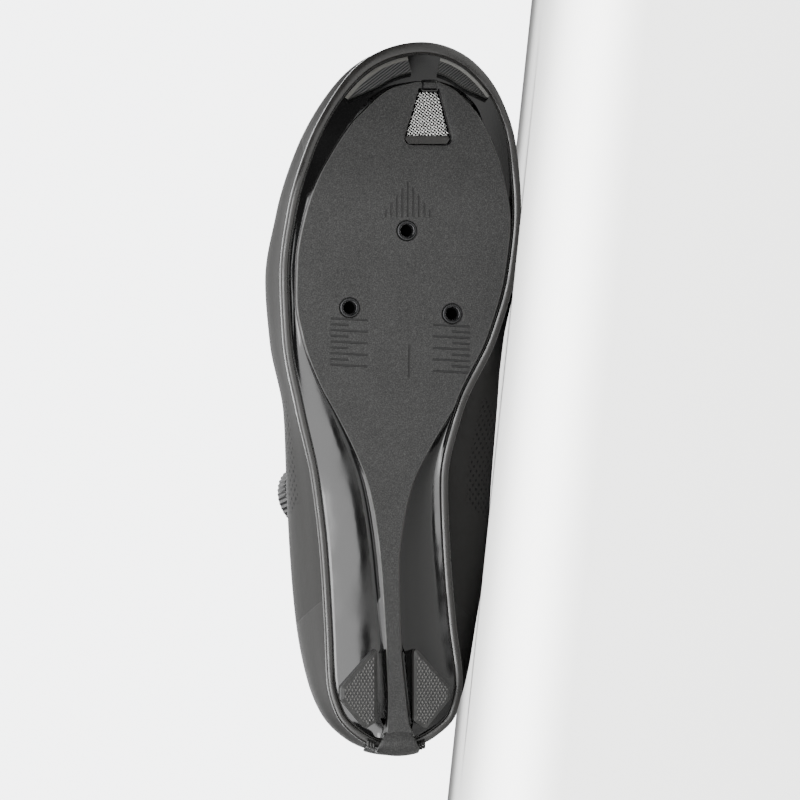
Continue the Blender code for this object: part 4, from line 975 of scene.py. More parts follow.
outer = rim_inset(RIM_WIDTH + RIM_STEP + 0.1 * MM)
toe = outer[STATIONS]
for name, step in (("toe_pad_lateral", -1), ("toe_pad_medial", 1)):
    line = [k for k in (STATIONS + step * n for n in range(1, STATIONS // 2))
            if (outer[k] - toe).length > TOE_PAD_GAP / 2 and outer[k].x > TOE_PAD_BACK]
    last = len(line) - 1
    outer_bevel, outer_top, inner_top, inner_foot, outer_foot = [], [], [], [], []
    for n, k in enumerate(line):
        inward = -outward(outer, k)
        width = TOE_PAD_WIDTH * (1 - TOE_PAD_TAPER * max(0.0, 2 * n / last - 1) ** 2)
        foot = seat_under(outer[k] + inward * 0.3 * MM)
        inner = outer[k] + inward * width
        inner_seat = seat_under(inner)
        outer_foot.append(Vector((*outer[k], foot - PAD_SEAT_GAP)))
        outer_bevel.append(Vector((*(outer[k] + inward * 0.15 * MM), foot - 0.9 * MM)))
        outer_top.append(Vector((*(outer[k] + inward * 1.4 * MM), foot - TOE_PAD_PROUD)))
        inner_top.append(Vector((*(inner - inward * 0.5 * MM), inner_seat - TOE_PAD_PROUD)))
        inner_foot.append(Vector((*inner, inner_seat - PAD_SEAT_GAP)))
    ribs_across = [[a.lerp(b, n / 6) for a, b in zip(outer_top, inner_top)] for n in range(7)]
    rows = [outer_foot, outer_bevel] + ribs_across + [inner_foot]
    pad = Skin()
    firsts = pad.rings(rows, [1, 1] + [0] * 6 + [2], wrap=False)
    for end in (0, last):
        corners = [first + end for first in firsts]
        pad.face(corners if end == 0 else list(reversed(corners)), 2)
    if step < 0:
        pad.turn_over()
    piece = link(name + "_rubber", pad.vertices, pad.faces,
                 [ribbed_rubber.material, bevel_highlight_rubber.material, rubber.material], pad.picks)
    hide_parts(name)


def inset_corners(corners, distance):
    """Corners of a counter-clockwise polygon whose edges have all moved inwards by a distance."""
    moved = []
    for k, corner in enumerate(corners):
        before = (corner - corners[k - 1]).normalized()
        after = (corners[(k + 1) % len(corners)] - corner).normalized()
        in_before = Vector((-before.y, before.x))
        in_after = Vector((-after.y, after.x))
        moved.append(corner + (in_before + in_after) * distance / (1 + in_before.dot(in_after)))
    return moved


for name, out in (("heel_pad_lateral", -1), ("heel_pad_medial", 1)):
    keel_side = HEEL_PAD_MIDDLE + out * HEEL_PAD_SPLIT / 2
    far_side = keel_side + out * HEEL_PAD_WIDTH
    back = HEEL_PAD_FRONT - HEEL_PAD_LENGTH
    shoulder = HEEL_PAD_FRONT - HEEL_PAD_LENGTH / 2
    corners = [Vector((HEEL_PAD_FRONT, keel_side)), Vector((shoulder, far_side)),
               Vector((shoulder - 1.5 * HEEL_PAD_CORNER, far_side)),
               Vector((back, keel_side + out * HEEL_PAD_HEEL_STEP)),
               Vector((back + HEEL_PAD_CORNER, keel_side))]
    if out < 0:
        corners = list(reversed(corners))
    loop = rounded(corners, [HEEL_PAD_CORNER / 2] * 5)
    inset = rounded(inset_corners(corners, HEEL_PAD_BEVEL), [HEEL_PAD_CORNER / 6] * 5)
    dense, face_loop = [], []
    for k, a in enumerate(loop):
        b = loop[(k + 1) % len(loop)]
        pieces = max(1, int((b - a).length / (1.2 * MM)))
        dense += [a.lerp(b, n / pieces) for n in range(pieces)]
        face_loop += [inset[k].lerp(inset[(k + 1) % len(inset)], n / pieces) for n in range(pieces)]
    pad = Skin()
    points, triangles = triangulate(face_loop, [], 2.5 * MM)
    count = len(face_loop)
    first = pad.ring([Vector((p.x, p.y, 0.0)) for p in points])
    for corners in triangles:
        pad.face([first + i for i in reversed(corners)], 0)
    seat = [seat_under(p) - PAD_SEAT_GAP for p in dense]
    wall = pad.rings([[Vector((*p, z)) for p, z in zip(dense, seat)],
                      [Vector((*p, HEEL_PAD_BEVEL * 0.9)) for p in dense]], [1])
    pad.strip(wall[1], first, count, 1)
    piece = link(name + "_rubber", pad.vertices, pad.faces,
                 [knurled_rubber.material, rubber.material], pad.picks, 25)
    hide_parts(name)

# Upper
# One closed shell of coated microfibre, with heat-bonded films at toe and heel. It is pulled
# over the last, and its lower margin is folded under the foot and glued to the sole.
HEEL_HEIGHT = 80 * MM
INSTEP_HEIGHT = 90 * MM
TOE_BOX_HEIGHT = 50 * MM
UPPER_WALL = 2.5 * MM
LASTING_MARGIN = 7 * MM
LASTING_GAP = 0.4 * MM
BITE_INSET = 1.2 * MM
LOW_OUT = 0.44
LOW_UP = 0.36
SHOULDER_OUT = 0.76
SHOULDER_UP = 0.72
ROWS_PER_LEVEL = (4, 4, 6, 6)
COLLAR_HALF = 0.2
COLLAR_PADDING = 3.2 * MM
ROLL_STEPS = 6

EDGE = table("along  lateral  medial  heel  instep  toe", [
    (0.020, 0.000, 0.000, 1.00, 0.00, 0.00),
    (0.045, 0.140, 0.142, 0.975, 0.00, 0.00),
    (0.090, 0.215, 0.225, 0.90, 0.00, 0.00),
    (0.160, 0.270, 0.280, 0.80, 0.00, 0.00),
    (0.230, 0.285, 0.295, 0.775, 0.00, 0.00),
    (0.285, 0.250, 0.285, 0.00, 0.76, 0.00),
    (0.330, 0.180, 0.250, 0.00, 0.90, 0.00),
    (0.365, 0.130, 0.190, 0.00, 0.98, 0.00),
    (0.400, 0.115, 0.145, 0.00, 1.00, 0.00),
    (0.460, 0.108, 0.120, 0.00, 0.965, 0.00),
    (0.550, 0.100, 0.110, 0.00, 0.875, 0.00),
    (0.640, 0.085, 0.095, 0.00, 0.785, 0.00),
    (0.690, 0.060, 0.070, 0.00, 0.735, 0.00),
    (0.720, 0.000, 0.000, 0.00, 0.705, 0.00),
    (0.800, 0.000, 0.000, 0.00, 0.00, 1.145),
    (0.870, 0.000, 0.000, 0.00, 0.00, 1.045),
    (0.920, 0.000, 0.000, 0.00, 0.00, 0.960),
])
CENTRE = table("along  middle", [
    (0.00, -0.012),
    (0.30, 0.000),
    (0.55, 0.000),
    (0.75, 0.030),
    (0.92, 0.088),
    (1.00, 0.110),
])
ENDS = {"widest": (0.000, 0.9965), "shoulder": (0.006, 0.975), "edge": (0.020, 0.920)}
centre_line = along_curve(CENTRE, "middle", BALL_WIDTH)


def spline(points, counts, before, after):
    """Rows of points along a smooth curve through the given levels."""
    knots = [before] + points + [after]
    rows = []
    for i, count in enumerate(counts):
        a, b, c, d = knots[i:i + 4]
        for n in range(count):
            t = n / count
            rows.append(0.5 * (2 * b + (c - a) * t + (2 * a - 5 * b + 4 * c - d) * t * t
                               + (3 * b - a - 3 * c + d) * t ** 3))
    return rows + [points[-1]]


def opening_half(side):
    """Half width of the opening at x, with a round end at the heel."""
    start, end = EDGE["along"][0], EDGE["along"][-1]
    at = curve([turn((along - start) / (end - start)) for along in EDGE["along"]], EDGE[side])
    return lambda x: BALL_WIDTH * at(turn((x / LENGTH - start) / (end - start)))


edge_height = curve(EDGE["along"], [heel * HEEL_HEIGHT + instep * INSTEP_HEIGHT + toe * TOE_BOX_HEIGHT
                                    for heel, instep, toe in zip(EDGE["heel"], EDGE["instep"], EDGE["toe"])])
widest_height = curve(OUTLINE["along"], OUTLINE["widest"])
open_halves = {side: opening_half(side) for side in ("lateral", "medial")}
widest_sides = {side: outline_curve(side) for side in ("lateral", "medial")}
bite_plan = offset_loop(SOLE_OUTLINE, -BITE_INSET)
margin_plan = offset_loop(SOLE_OUTLINE, -BITE_INSET - LASTING_MARGIN)
columns = []
open_share = []
for k, (side, i) in enumerate(SIDES):
    out = -1 if side == "lateral" else 1
    xs = {name: LENGTH * (low + (high - low) * SHARES[i]) for name, (low, high) in ENDS.items()}
    x = xs["edge"]
    edge = Vector((x, centre_line(x) + out * open_halves[side](x), edge_height(x / LENGTH)))
    wide_y = widest_sides[side](SHARES[i])
    wide_z = INSTEP_HEIGHT * widest_height(SHARES[i])
    widest = Vector((xs["widest"], wide_y, wide_z))
    shoulder = Vector((xs["shoulder"], edge.y + SHOULDER_OUT * (wide_y - edge.y),
                       wide_z + SHOULDER_UP * (edge.z - wide_z)))
    bite = Vector((*bite_plan[k], footbed(bite_plan[k].x) + LASTING_GAP))
    margin = Vector((*margin_plan[k], footbed(margin_plan[k].x) + LASTING_GAP))
    rise = widest - bite
    low = bite + Vector((LOW_OUT * rise.x, LOW_OUT * rise.y, LOW_UP * rise.z))
    middle = centre_line(x)
    spread = min(abs(edge.y - middle) / (COLLAR_HALF * BALL_WIDTH), 1.0)
    after = Vector((shoulder.x, 2 * middle - shoulder.y, shoulder.z)).lerp(2 * edge - shoulder, spread)
    levels = [bite, low, widest, shoulder, edge]
    columns.append([margin] + spline(levels, ROWS_PER_LEVEL, 2 * bite - low, after))
    open_share.append(spread)
UPPER_ROWS = [[column[r] for column in columns] for r in range(len(columns[0]))]
TOP = len(UPPER_ROWS) - 1


def reached(points):
    """Distance walked along a line at each of its points."""
    total = [0.0]
    for a, b in zip(points, points[1:]):
        total.append(total[-1] + (b - a).length)
    return total


walks = [reached(column[1:]) for column in columns]


def padded_sheet(name, rows, faces, thickness, uvs, finishes, rim_pick, gap=0.0, roll=ROLL_STEPS):
    """A sheet with a back at its own thickness and a round rolled rim; front, back and rim have finishes."""
    bm = bmesh.new()
    made = [bm.verts.new(v) for v in rows]
    for face in faces:
        bm.faces.new([made[i] for i in face])
    bm.normal_update()
    bm.verts.index_update()
    normals = [v.normal.copy() for v in bm.verts]
    front = [v - n * gap for v, n in zip(rows, normals)]
    back = [v - n * (gap + t) for v, n, t in zip(rows, normals, thickness)]
    vertices = front + back
    count = len(rows)
    all_faces = [tuple(face) for face in faces] + [tuple(i + count for i in reversed(face)) for face in faces]
    picks = [0] * len(faces) + [1] * len(faces)
    face_uvs = [[uvs[f][n] for n in range(len(face))] for f, face in enumerate(faces)]
    face_uvs += [list(reversed(corner)) for corner in face_uvs]
    ring_of = {}
    for edge in bm.edges:
        if edge.is_boundary:
            loop = edge.link_loops[0]
            a, b = loop.vert.index, loop.link_loop_next.vert.index
            away = (rows[b] - rows[a]).cross(normals[a]).normalized()
            for v in (a, b):
                ring_of.setdefault(v, []).append(away)
    rims = {}
    for v, ways in ring_of.items():
        away = sum(ways, Vector()).normalized()
        middle, half_way = (front[v] + back[v]) / 2, (front[v] - back[v]) / 2
        ids_here = [v]
        for n in range(1, roll):
            angle = math.pi * n / roll
            ids_here.append(len(vertices))
            vertices.append(middle + half_way * math.cos(angle) + away * half_way.length * math.sin(angle))
        rims[v] = ids_here + [v + count]
    for edge in bm.edges:
        if edge.is_boundary:
            loop = edge.link_loops[0]
            a, b = loop.vert.index, loop.link_loop_next.vert.index
            for n in range(roll):
                all_faces.append((rims[b][n], rims[a][n], rims[a][n + 1], rims[b][n + 1]))
                picks.append(rim_pick)
                face_uvs.append([(0.0, 0.0)] * 4)
    bm.free()
    piece = link(name, vertices, all_faces, finishes, picks, 40)
    layer = piece.data.uv_layers.new(name="UVMap")
    flat = [value for corners in face_uvs for uv in corners for value in uv]
    layer.data.foreach_set("uv", flat)
    return piece


# Perforations and film edges are drawn in millimetres: along the shoe, and up from the bite.
UV_SPAN = 0.4


def sheet_place(finish):
    """Along the shoe and up from the bite, in millimetres, from the sheet's own map."""
    uv = finish.node("UVMap", {"uv_map": "UVMap"}, {})
    along = finish.node("SeparateXYZ", {}, {0: uv}, "X") * (UV_SPAN / MM)
    up = finish.node("SeparateXYZ", {}, {0: uv}, "Y") * (UV_SPAN / MM) - UV_SPAN / MM / 2
    return along, up


COATING = (0.013, 0.0126, 0.0121)
microfibre = Finish("coated_microfibre", COATING, 0.66, {"Specular IOR Level": 0.18})
along, up = sheet_place(microfibre)
height_up = abs(up)
quarter = height_up.between(14, 46) * (along + height_up * 0.55).between(101, 141)
vamp_holes = height_up.between(26, 62) * (along - height_up * 0.2).between(168, 203)
holes_wanted = quarter.highest(vamp_holes)
HOLE_PITCH = 3.45
u = along.to_nearest(HOLE_PITCH)
v = height_up.to_nearest(HOLE_PITCH)
u_two = (along + HOLE_PITCH / 2).to_nearest(HOLE_PITCH)
v_two = (height_up + HOLE_PITCH / 2).to_nearest(HOLE_PITCH)
near = (u * u + v * v).maths("SQRT").maths("MINIMUM", (u_two * u_two + v_two * v_two).maths("SQRT"))
hole = near.within(0.62, 0.14) * holes_wanted
toe_film = microfibre.ramp(along + 0.75 * (22 - height_up), 236.0, 236.5, 0.0, 1.0)
toe_film = toe_film * microfibre.ramp(height_up, 24.0, 24.5, 1.0, 0.0)
heel_film = microfibre.ramp(along + 0.45 * height_up, 58.0, 58.5, 1.0, 0.0)
heel_film = heel_film * microfibre.ramp(height_up, 46.0, 46.5, 1.0, 0.0)
film = toe_film.highest(heel_film)
creases = microfibre.noise(5 * MM, 3.0, (1.6, 1, 1))
pores = microfibre.noise(0.5 * MM, 3.0)
# The perforations are painted near black: painted shade inside the holes, which the bump also sinks.
microfibre.wear({
    "Base Color": microfibre.tint(hole, (0.0005, 0.0005, 0.0005), COATING),
    "Roughness": microfibre.ramp(film, 0.0, 1.0, 0.66, 0.60),
    "Normal": microfibre.relief(film * 0.3 - hole * 2.0 + pores * 0.12 + creases * 0.25, 0.4 * MM),
})
lining = Finish("knit_lining", (0.008, 0.008, 0.0085), 0.85, {"Specular IOR Level": 0.2})
lining.wear({"Normal": lining.relief(lining.knit(1.1 * MM), 0.5 * MM)})
binding = Finish("collar_binding", (0.008, 0.008, 0.0085), 0.75, {"Specular IOR Level": 0.2})
binding.grained(0.45 * MM, 0.08 * MM)

sheet, sheet_thickness, ids = [], [], {}
for r, row in enumerate(UPPER_ROWS):
    for k, point in enumerate(row):
        mirror = (AROUND - k) % AROUND
        if r == TOP and k > STATIONS and (point - row[mirror]).length < 0.02 * MM:
            ids[r, k] = ids[r, mirror]
            continue
        ids[r, k] = len(sheet)
        sheet.append(point)
        share = max(r - 1, 0) / (TOP - 1)
        padding = COLLAR_PADDING * open_share[k] * min(max((share - 0.55) / 0.3, 0.0), 1.0)
        sheet_thickness.append(UPPER_WALL + padding)
sheet_faces, sheet_uvs = [], []
for r in range(TOP):
    for k in range(AROUND):
        nxt = (k + 1) % AROUND
        corners = [(r, k), (r, nxt), (r + 1, nxt), (r + 1, k)]
        face = [ids[c] for c in corners]
        if len(set(face)) == 4:
            sign = -1 if k < STATIONS else 1
            sheet_faces.append(face)
            sheet_uvs.append([(UPPER_ROWS[a][b].x / UV_SPAN,
                               0.5 + sign * (walks[b][a - 1] if a else 0.0) / UV_SPAN) for a, b in corners])
upper = padded_sheet("upper_shell", sheet, sheet_faces, sheet_thickness, sheet_uvs,
                     [microfibre.material, lining.material, binding.material], 2)
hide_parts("upper")
over = surface(upper)

# Bite line
# A thin round bead lies where the upper dives behind the sole's edge. It is coloured much lighter than sole
# and upper, with lighter and darker specks: a painted highlight along the sole's edge.
BITE_BEAD_REACH = 0.35 * MM
bite_glint = Finish("bite_line_highlight", (0.07, 0.068, 0.063), 0.55)
specks = bite_glint.noise(0.9 * MM, 3.0)
speck_mask = bite_glint.ramp(specks, 0.45, 0.62, 0.0, 1.0)
bite_glint.wear({"Base Color": bite_glint.tint(speck_mask, (0.14, 0.135, 0.125), (0.006, 0.006, 0.006))})
bead = Skin()
seam_rows = []
for n in range(5):
    angle = math.pi * n / 4
    plan = offset_loop(SOLE_OUTLINE, -0.75 * MM + BITE_BEAD_REACH * math.sin(angle))
    seam_rows.append(at_height(plan, lambda x: footbed(x) + 0.25 * MM + BITE_BEAD_REACH * math.cos(angle)))
bead.rings(seam_rows, 0)
bite_highlight_line = link("bite_highlight_line", bead.vertices, bead.faces, [bite_glint.material])

# Stitching
# Waxed polyester thread holds the collar's binding and the eyestay down. It is sewn in small tight
# stitches, one row round the collar and two along each side of the throat.
STITCH_PITCH = 2.6 * MM
STITCH_LENGTH = 1.9 * MM
THREAD_RADIUS = 0.22 * MM
thread = Finish("waxed_thread", (0.020, 0.0195, 0.019), 0.5)
thread.grained(0.25 * MM, 0.05 * MM)


def below_edge(k, distance):
    """Point of the upper's outside at a walked distance under the opening's edge."""
    column, walk = columns[k][1:], walks[k]
    goal = walk[-1] - distance
    r = max(i for i in range(len(walk) - 1) if walk[i] <= goal)
    return column[r].lerp(column[r + 1], (goal - walk[r]) / (walk[r + 1] - walk[r]))


def stitches(skin, line, lift):
    """Short rods laid end to end along a line on the upper."""
    walk = reached(line)

    def at(distance):
        i = max(n for n in range(len(walk) - 1) if walk[n] <= distance)
        point = line[i].lerp(line[i + 1], (distance - walk[i]) / (walk[i + 1] - walk[i]))
        hit, normal, _, _ = over.find_nearest(point)
        return hit, normal

    for n in range(int(walk[-1] / STITCH_PITCH)):
        start = n * STITCH_PITCH
        path = []
        normal = Vector((0, 0, 1))
        for share, rise in ((0.0, -0.5), (0.2, 0.7), (0.5, 1.0), (0.8, 0.7), (1.0, -0.5)):
            hit, normal = at(start + STITCH_LENGTH * share)
            path.append(hit + normal * lift * rise)
        tube(skin, path, THREAD_RADIUS, 5, 0, normal)


sewn = Skin()
collar = [k for k in range(-STATIONS // 2, STATIONS // 2) if columns[k][-1].x < 0.30 * LENGTH]
stitches(sewn, [below_edge(k, 5.5 * MM) for k in collar], THREAD_RADIUS)
for side in (-1, 1):
    ks = [side * i % AROUND for i in range(STATIONS)
          if 0.31 * LENGTH < columns[side * i % AROUND][-1].x < 0.735 * LENGTH]
    for distance in (3.2 * MM, 11.5 * MM):
        stitches(sewn, [below_edge(k, distance) for k in ks], THREAD_RADIUS)
seams = link("upper_stitches", sewn.vertices, sewn.faces, [thread.material])

# Tongue
# A foam tongue between two knit cloths, bound round its edge and sewn in under the throat's front. It
# lies against the vault of the upper and stands up out of the collar.
TONGUE_GAP = 1.0 * MM
TONGUE_BACK = 0.35 * LENGTH
TONGUE_FRONT = 0.745 * LENGTH
TONGUE_RISE = 20 * MM
TONGUE_COLUMNS = 25
TONGUE_TUCK_ROWS = 2
TONGUE_ARCH_ROWS = 14
TONGUE_TOP = table("back  up  lateral  medial", [
    (0.00, 0.00, 1.00, 1.00),
    (0.08, -0.03, 0.80, 0.84),
    (0.20, -0.04, 0.66, 0.74),
    (0.35, 0.05, 0.69, 0.75),
    (0.50, 0.16, 0.72, 0.76),
    (0.65, 0.28, 0.735, 0.76),
    (0.78, 0.42, 0.74, 0.76),
    (0.90, 0.56, 0.71, 0.73),
    (0.97, 0.66, 0.66, 0.68),
])
TONGUE_FOAM = 4.2 * MM
TONGUE_HEM = 2.0 * MM


def respaced(points, count):
    """The same line drawn with a number of evenly spaced points."""
    walk = reached(points)
    line = []
    for n in range(count):
        goal = walk[-1] * n / (count - 1)
        i = max(k for k in range(len(points) - 1) if walk[k] <= goal and walk[k + 1] > walk[k])
        line.append(points[i].lerp(points[i + 1], (goal - walk[i]) / (walk[i + 1] - walk[i])))
    return line


tongue_rows = []
for k in range(STATIONS + 1):
    if TONGUE_BACK < UPPER_ROWS[TOP][k].x < TONGUE_FRONT:
        mirror = (AROUND - k) % AROUND
        left = [UPPER_ROWS[TOP - n][k] for n in range(TONGUE_TUCK_ROWS, -1, -1)]
        right = [UPPER_ROWS[TOP - n][mirror] for n in range(TONGUE_TUCK_ROWS + 1)]
        arch = spline([left[-1], right[0]], (TONGUE_ARCH_ROWS,), left[-2], right[1])
        tongue_rows.append(respaced(left + arch[1:-1] + right, TONGUE_COLUMNS))
back_row = tongue_rows[0]
ahead_row = tongue_rows[4]
middle = back_row[TONGUE_COLUMNS // 2]
lean_back = (middle - ahead_row[TONGUE_COLUMNS // 2]).normalized()
for n, back_share in enumerate(TONGUE_TOP["back"]):
    if n:
        shift = lean_back * TONGUE_RISE * back_share + Vector((0, 0, TONGUE_RISE * TONGUE_TOP["up"][n]))
        row = []
        for v in back_row:
            narrow = TONGUE_TOP["lateral" if v.y < middle.y else "medial"][n]
            row.append(middle + shift + Vector((v.x - middle.x, narrow * (v.y - middle.y),
                                                narrow * (v.z - middle.z))))
        tongue_rows.insert(0, row)
tongue_points = [v for row in tongue_rows for v in row]
tongue_faces, tongue_uvs, tongue_thickness = [], [], []
for r in range(len(tongue_rows)):
    for c in range(TONGUE_COLUMNS):
        from_side = min(c, TONGUE_COLUMNS - 1 - c) / 4
        from_end = r / 4
        fullness = math.sin(min(from_side, from_end, 1.0) * math.pi / 2)
        tongue_thickness.append(TONGUE_HEM + (TONGUE_FOAM - TONGUE_HEM) * fullness)
for r in range(len(tongue_rows) - 1):
    for c in range(TONGUE_COLUMNS - 1):
        corners = [(r, c), (r + 1, c), (r + 1, c + 1), (r, c + 1)]
        tongue_faces.append([a * TONGUE_COLUMNS + b for a, b in corners])
        tongue_uvs.append([(tongue_rows[a][b].x / UV_SPAN, b / TONGUE_COLUMNS) for a, b in corners])
tongue_cloth = Finish("tongue_knit", (0.010, 0.010, 0.0105), 0.8, {"Specular IOR Level": 0.25})
cells = tongue_cloth.knit(1.8 * MM)
tongue_cloth.wear({"Normal": tongue_cloth.relief(cells + tongue_cloth.noise(0.5 * MM) * 0.3, 0.55 * MM)})
tongue = padded_sheet("tongue_padded", tongue_points, tongue_faces, tongue_thickness, tongue_uvs,
                      [tongue_cloth.material, lining.material, binding.material], 2, UPPER_WALL + TONGUE_GAP)
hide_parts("tongue")

# Insole
# A loose die-cut foam footbed with a knit top cloth and a rounded edge. It lies on the lasting margin
# inside the upper, held by its fit alone.
INSOLE_THICKNESS = 2.5 * MM
INSOLE_CLEARANCE = 1 * MM
INSOLE_SEAT = LASTING_GAP + UPPER_WALL + LASTING_GAP
insole_rows = []
for inset, up_mm in ((0.0, 0.0), (0.0, 1.9), (0.3, 2.35), (0.8, 2.5), (2.0, 2.5), (6.0, 2.5)):
    plan = offset_loop(SOLE_OUTLINE, -BITE_INSET - UPPER_WALL - INSOLE_CLEARANCE - inset * MM)
    insole_rows.append(at_height(plan, lambda x: footbed(x) + INSOLE_SEAT + up_mm * MM))
insole_skin = Skin()
firsts = insole_skin.rings(insole_rows, [1, 1, 0, 0, 0])
insole_skin.turn_over()
insole_skin.across(firsts[-1], AROUND, 0)
insole_skin.across(firsts[0], AROUND, 1, turned=True)
footcloth = Finish("insole_knit", (0.025, 0.025, 0.027), 0.9, {"Specular IOR Level": 0.25})
footcloth.wear({"Normal": footcloth.relief(footcloth.knit(0.9 * MM), 0.3 * MM)})
foam = Finish("insole_foam", (0.012, 0.012, 0.012), 0.9)
foam.grained(0.8 * MM, 0.2 * MM, 3.0)
insole = link("insole_footbed", insole_skin.vertices, insole_skin.faces,
              [footcloth.material, foam.material], insole_skin.picks)
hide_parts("insole")

# Lace dial
# A moulded nylon base is bonded and sewn to the lateral quarter, and a thin skirt follows its curve.
# The ribbed nylon knob on it winds the lace in.
DIAL_PLACE = Vector((0.362 * LENGTH, -0.247 * BALL_WIDTH))
DIAL_DIAMETER = 25 * MM
DIAL_HEIGHT = 6.5 * MM
DIAL_BASE_HEIGHT = 2.2 * MM
DIAL_BASE_RIM = 1 * MM
DIAL_SKIRT = 3 * MM
DIAL_RIBS = 40
KNOB_SIDES = DIAL_RIBS * 6
BASE_SIDES = 72
SEAT_PROBES = 24
RIB_DEPTH = 0.45 * MM


def seat_on(point, spread):
    """Seat on the upper over a plan point, and the mean way out of the upper round it."""
    hit, _, _, _ = over.ray_cast(Vector((*point, LENGTH)), Vector((0, 0, -1)))
    total = Vector((0, 0, 0))
    for dx in (-1, 0, 1):
        for dy in (-1, 0, 1):
            start = Vector((point.x + dx * spread, point.y + dy * spread, LENGTH))
            found, normal, _, _ = over.ray_cast(start, Vector((0, 0, -1)))
            if found:
                total += normal
    return hit, total.normalized()


dial_seat, dial_axis = seat_on(DIAL_PLACE, DIAL_DIAMETER / 4)
dial_across = dial_axis.cross(Vector((1, 0, 0))).normalized()
dial_ahead = dial_across.cross(dial_axis)
highest_under = 0.0
for n in range(SEAT_PROBES):
    angle = 2 * math.pi * n / SEAT_PROBES
    out = dial_ahead * math.cos(angle) + dial_across * math.sin(angle)
    start = dial_seat + out * (DIAL_DIAMETER / 2 - DIAL_BASE_RIM) + dial_axis * DIAL_DIAMETER
    found, _, _, reach = over.ray_cast(start, -dial_axis)
    if found:
        highest_under = max(highest_under, DIAL_DIAMETER - reach)
dial_top = highest_under + DIAL_BASE_HEIGHT


def lathe(seat, ahead, across, axis, profile, sides, ripple=0.0, ribs=0):
    """Rings of points round an axis; a ripple cuts ribs into those that ask for it."""
    rings = []
    for radius, height, ribbed in profile:
        ring = []
        for k in range(sides):
            angle = 2 * math.pi * k / sides
            cut = ripple * ribbed * (0.5 - 0.5 * math.cos(ribs * angle)) ** 0.7
            reach = radius - cut
            ring.append(seat + ahead * reach * math.cos(angle) + across * reach * math.sin(angle)
                        + axis * height)
        rings.append(ring)
    return rings


nylon = Finish("moulded_nylon", (0.008, 0.008, 0.008), 0.42, {"Specular IOR Level": 0.4})
nylon.grained(0.4 * MM, 0.04 * MM)
knob_nylon = Finish("knob_nylon", (0.010, 0.010, 0.0105), 0.35, {"Specular IOR Level": 0.4})
knob_nylon.patchy(2 * MM, 0.3, 0.45)
base_radius = DIAL_DIAMETER / 2 - DIAL_BASE_RIM
base_rings = []
for radius, height, skirt in ((1.5, -0.4, True), (1.35, 0.5, True), (0.3, None, False), (0.0, None, False)):
    ring = []
    for k in range(BASE_SIDES):
        angle = 2 * math.pi * k / BASE_SIDES
        out = dial_ahead * math.cos(angle) + dial_across * math.sin(angle)
        spot = dial_seat + out * (base_radius + radius * MM)
        if skirt:
            found, _, _, _ = over.ray_cast(spot + dial_axis * DIAL_DIAMETER, -dial_axis)
            deep = (found - spot).dot(dial_axis) if found else -LENGTH
            spot = spot + dial_axis * ((deep if deep > -DIAL_SKIRT else -0.6 * DIAL_SKIRT) + height * MM)
        else:
            spot = spot + dial_axis * (dial_top - (0.5 * MM if radius else 0.0))
        ring.append(spot)
    base_rings.append(ring)
base = Skin()
firsts = base.rings(list(reversed(base_rings)), 0)
base.turn_over()
base.face([firsts[0] + k for k in range(BASE_SIDES)], 0)
dial_base = link("dial_seat", base.vertices, base.faces, [nylon.material])
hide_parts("dial_base")

knob_foot = dial_seat + dial_axis * (dial_top + FIT_GAP)
knob_radius = DIAL_DIAMETER / 2
knob_profile = [(base_radius - 1 * MM, 0.0, 0), (base_radius, 0.0, 0), (knob_radius - 0.3 * MM, 0.5 * MM, 1),
                (knob_radius, 1.0 * MM, 1), (knob_radius, DIAL_HEIGHT - 1.4 * MM, 1),
                (knob_radius - 0.35 * MM, DIAL_HEIGHT - 0.6 * MM, 1),
                (knob_radius - 1.1 * MM, DIAL_HEIGHT - 0.05 * MM, 0),
                (knob_radius - 2.2 * MM, DIAL_HEIGHT, 0), (knob_radius - 2.6 * MM, DIAL_HEIGHT - 0.5 * MM, 0),
                (knob_radius - 4.2 * MM, DIAL_HEIGHT - 0.8 * MM, 0),
                (knob_radius - 4.6 * MM, DIAL_HEIGHT - 0.6 * MM, 0),
                (2.0 * MM, DIAL_HEIGHT - 0.15 * MM, 0), (0.4 * MM, DIAL_HEIGHT - 0.1 * MM, 0)]
knob = Skin()
knob_rings = lathe(knob_foot, dial_ahead, dial_across, dial_axis, knob_profile, KNOB_SIDES,
                   RIB_DEPTH, DIAL_RIBS)
firsts = knob.rings(knob_rings, 0)
knob.face([firsts[-1] + k for k in range(KNOB_SIDES)], 0)
knob.face([firsts[0] + k for k in reversed(range(KNOB_SIDES))], 0)
dial_knob = link("dial_grip", knob.vertices, knob.faces, [knob_nylon.material], None, 30)
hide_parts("dial_knob")

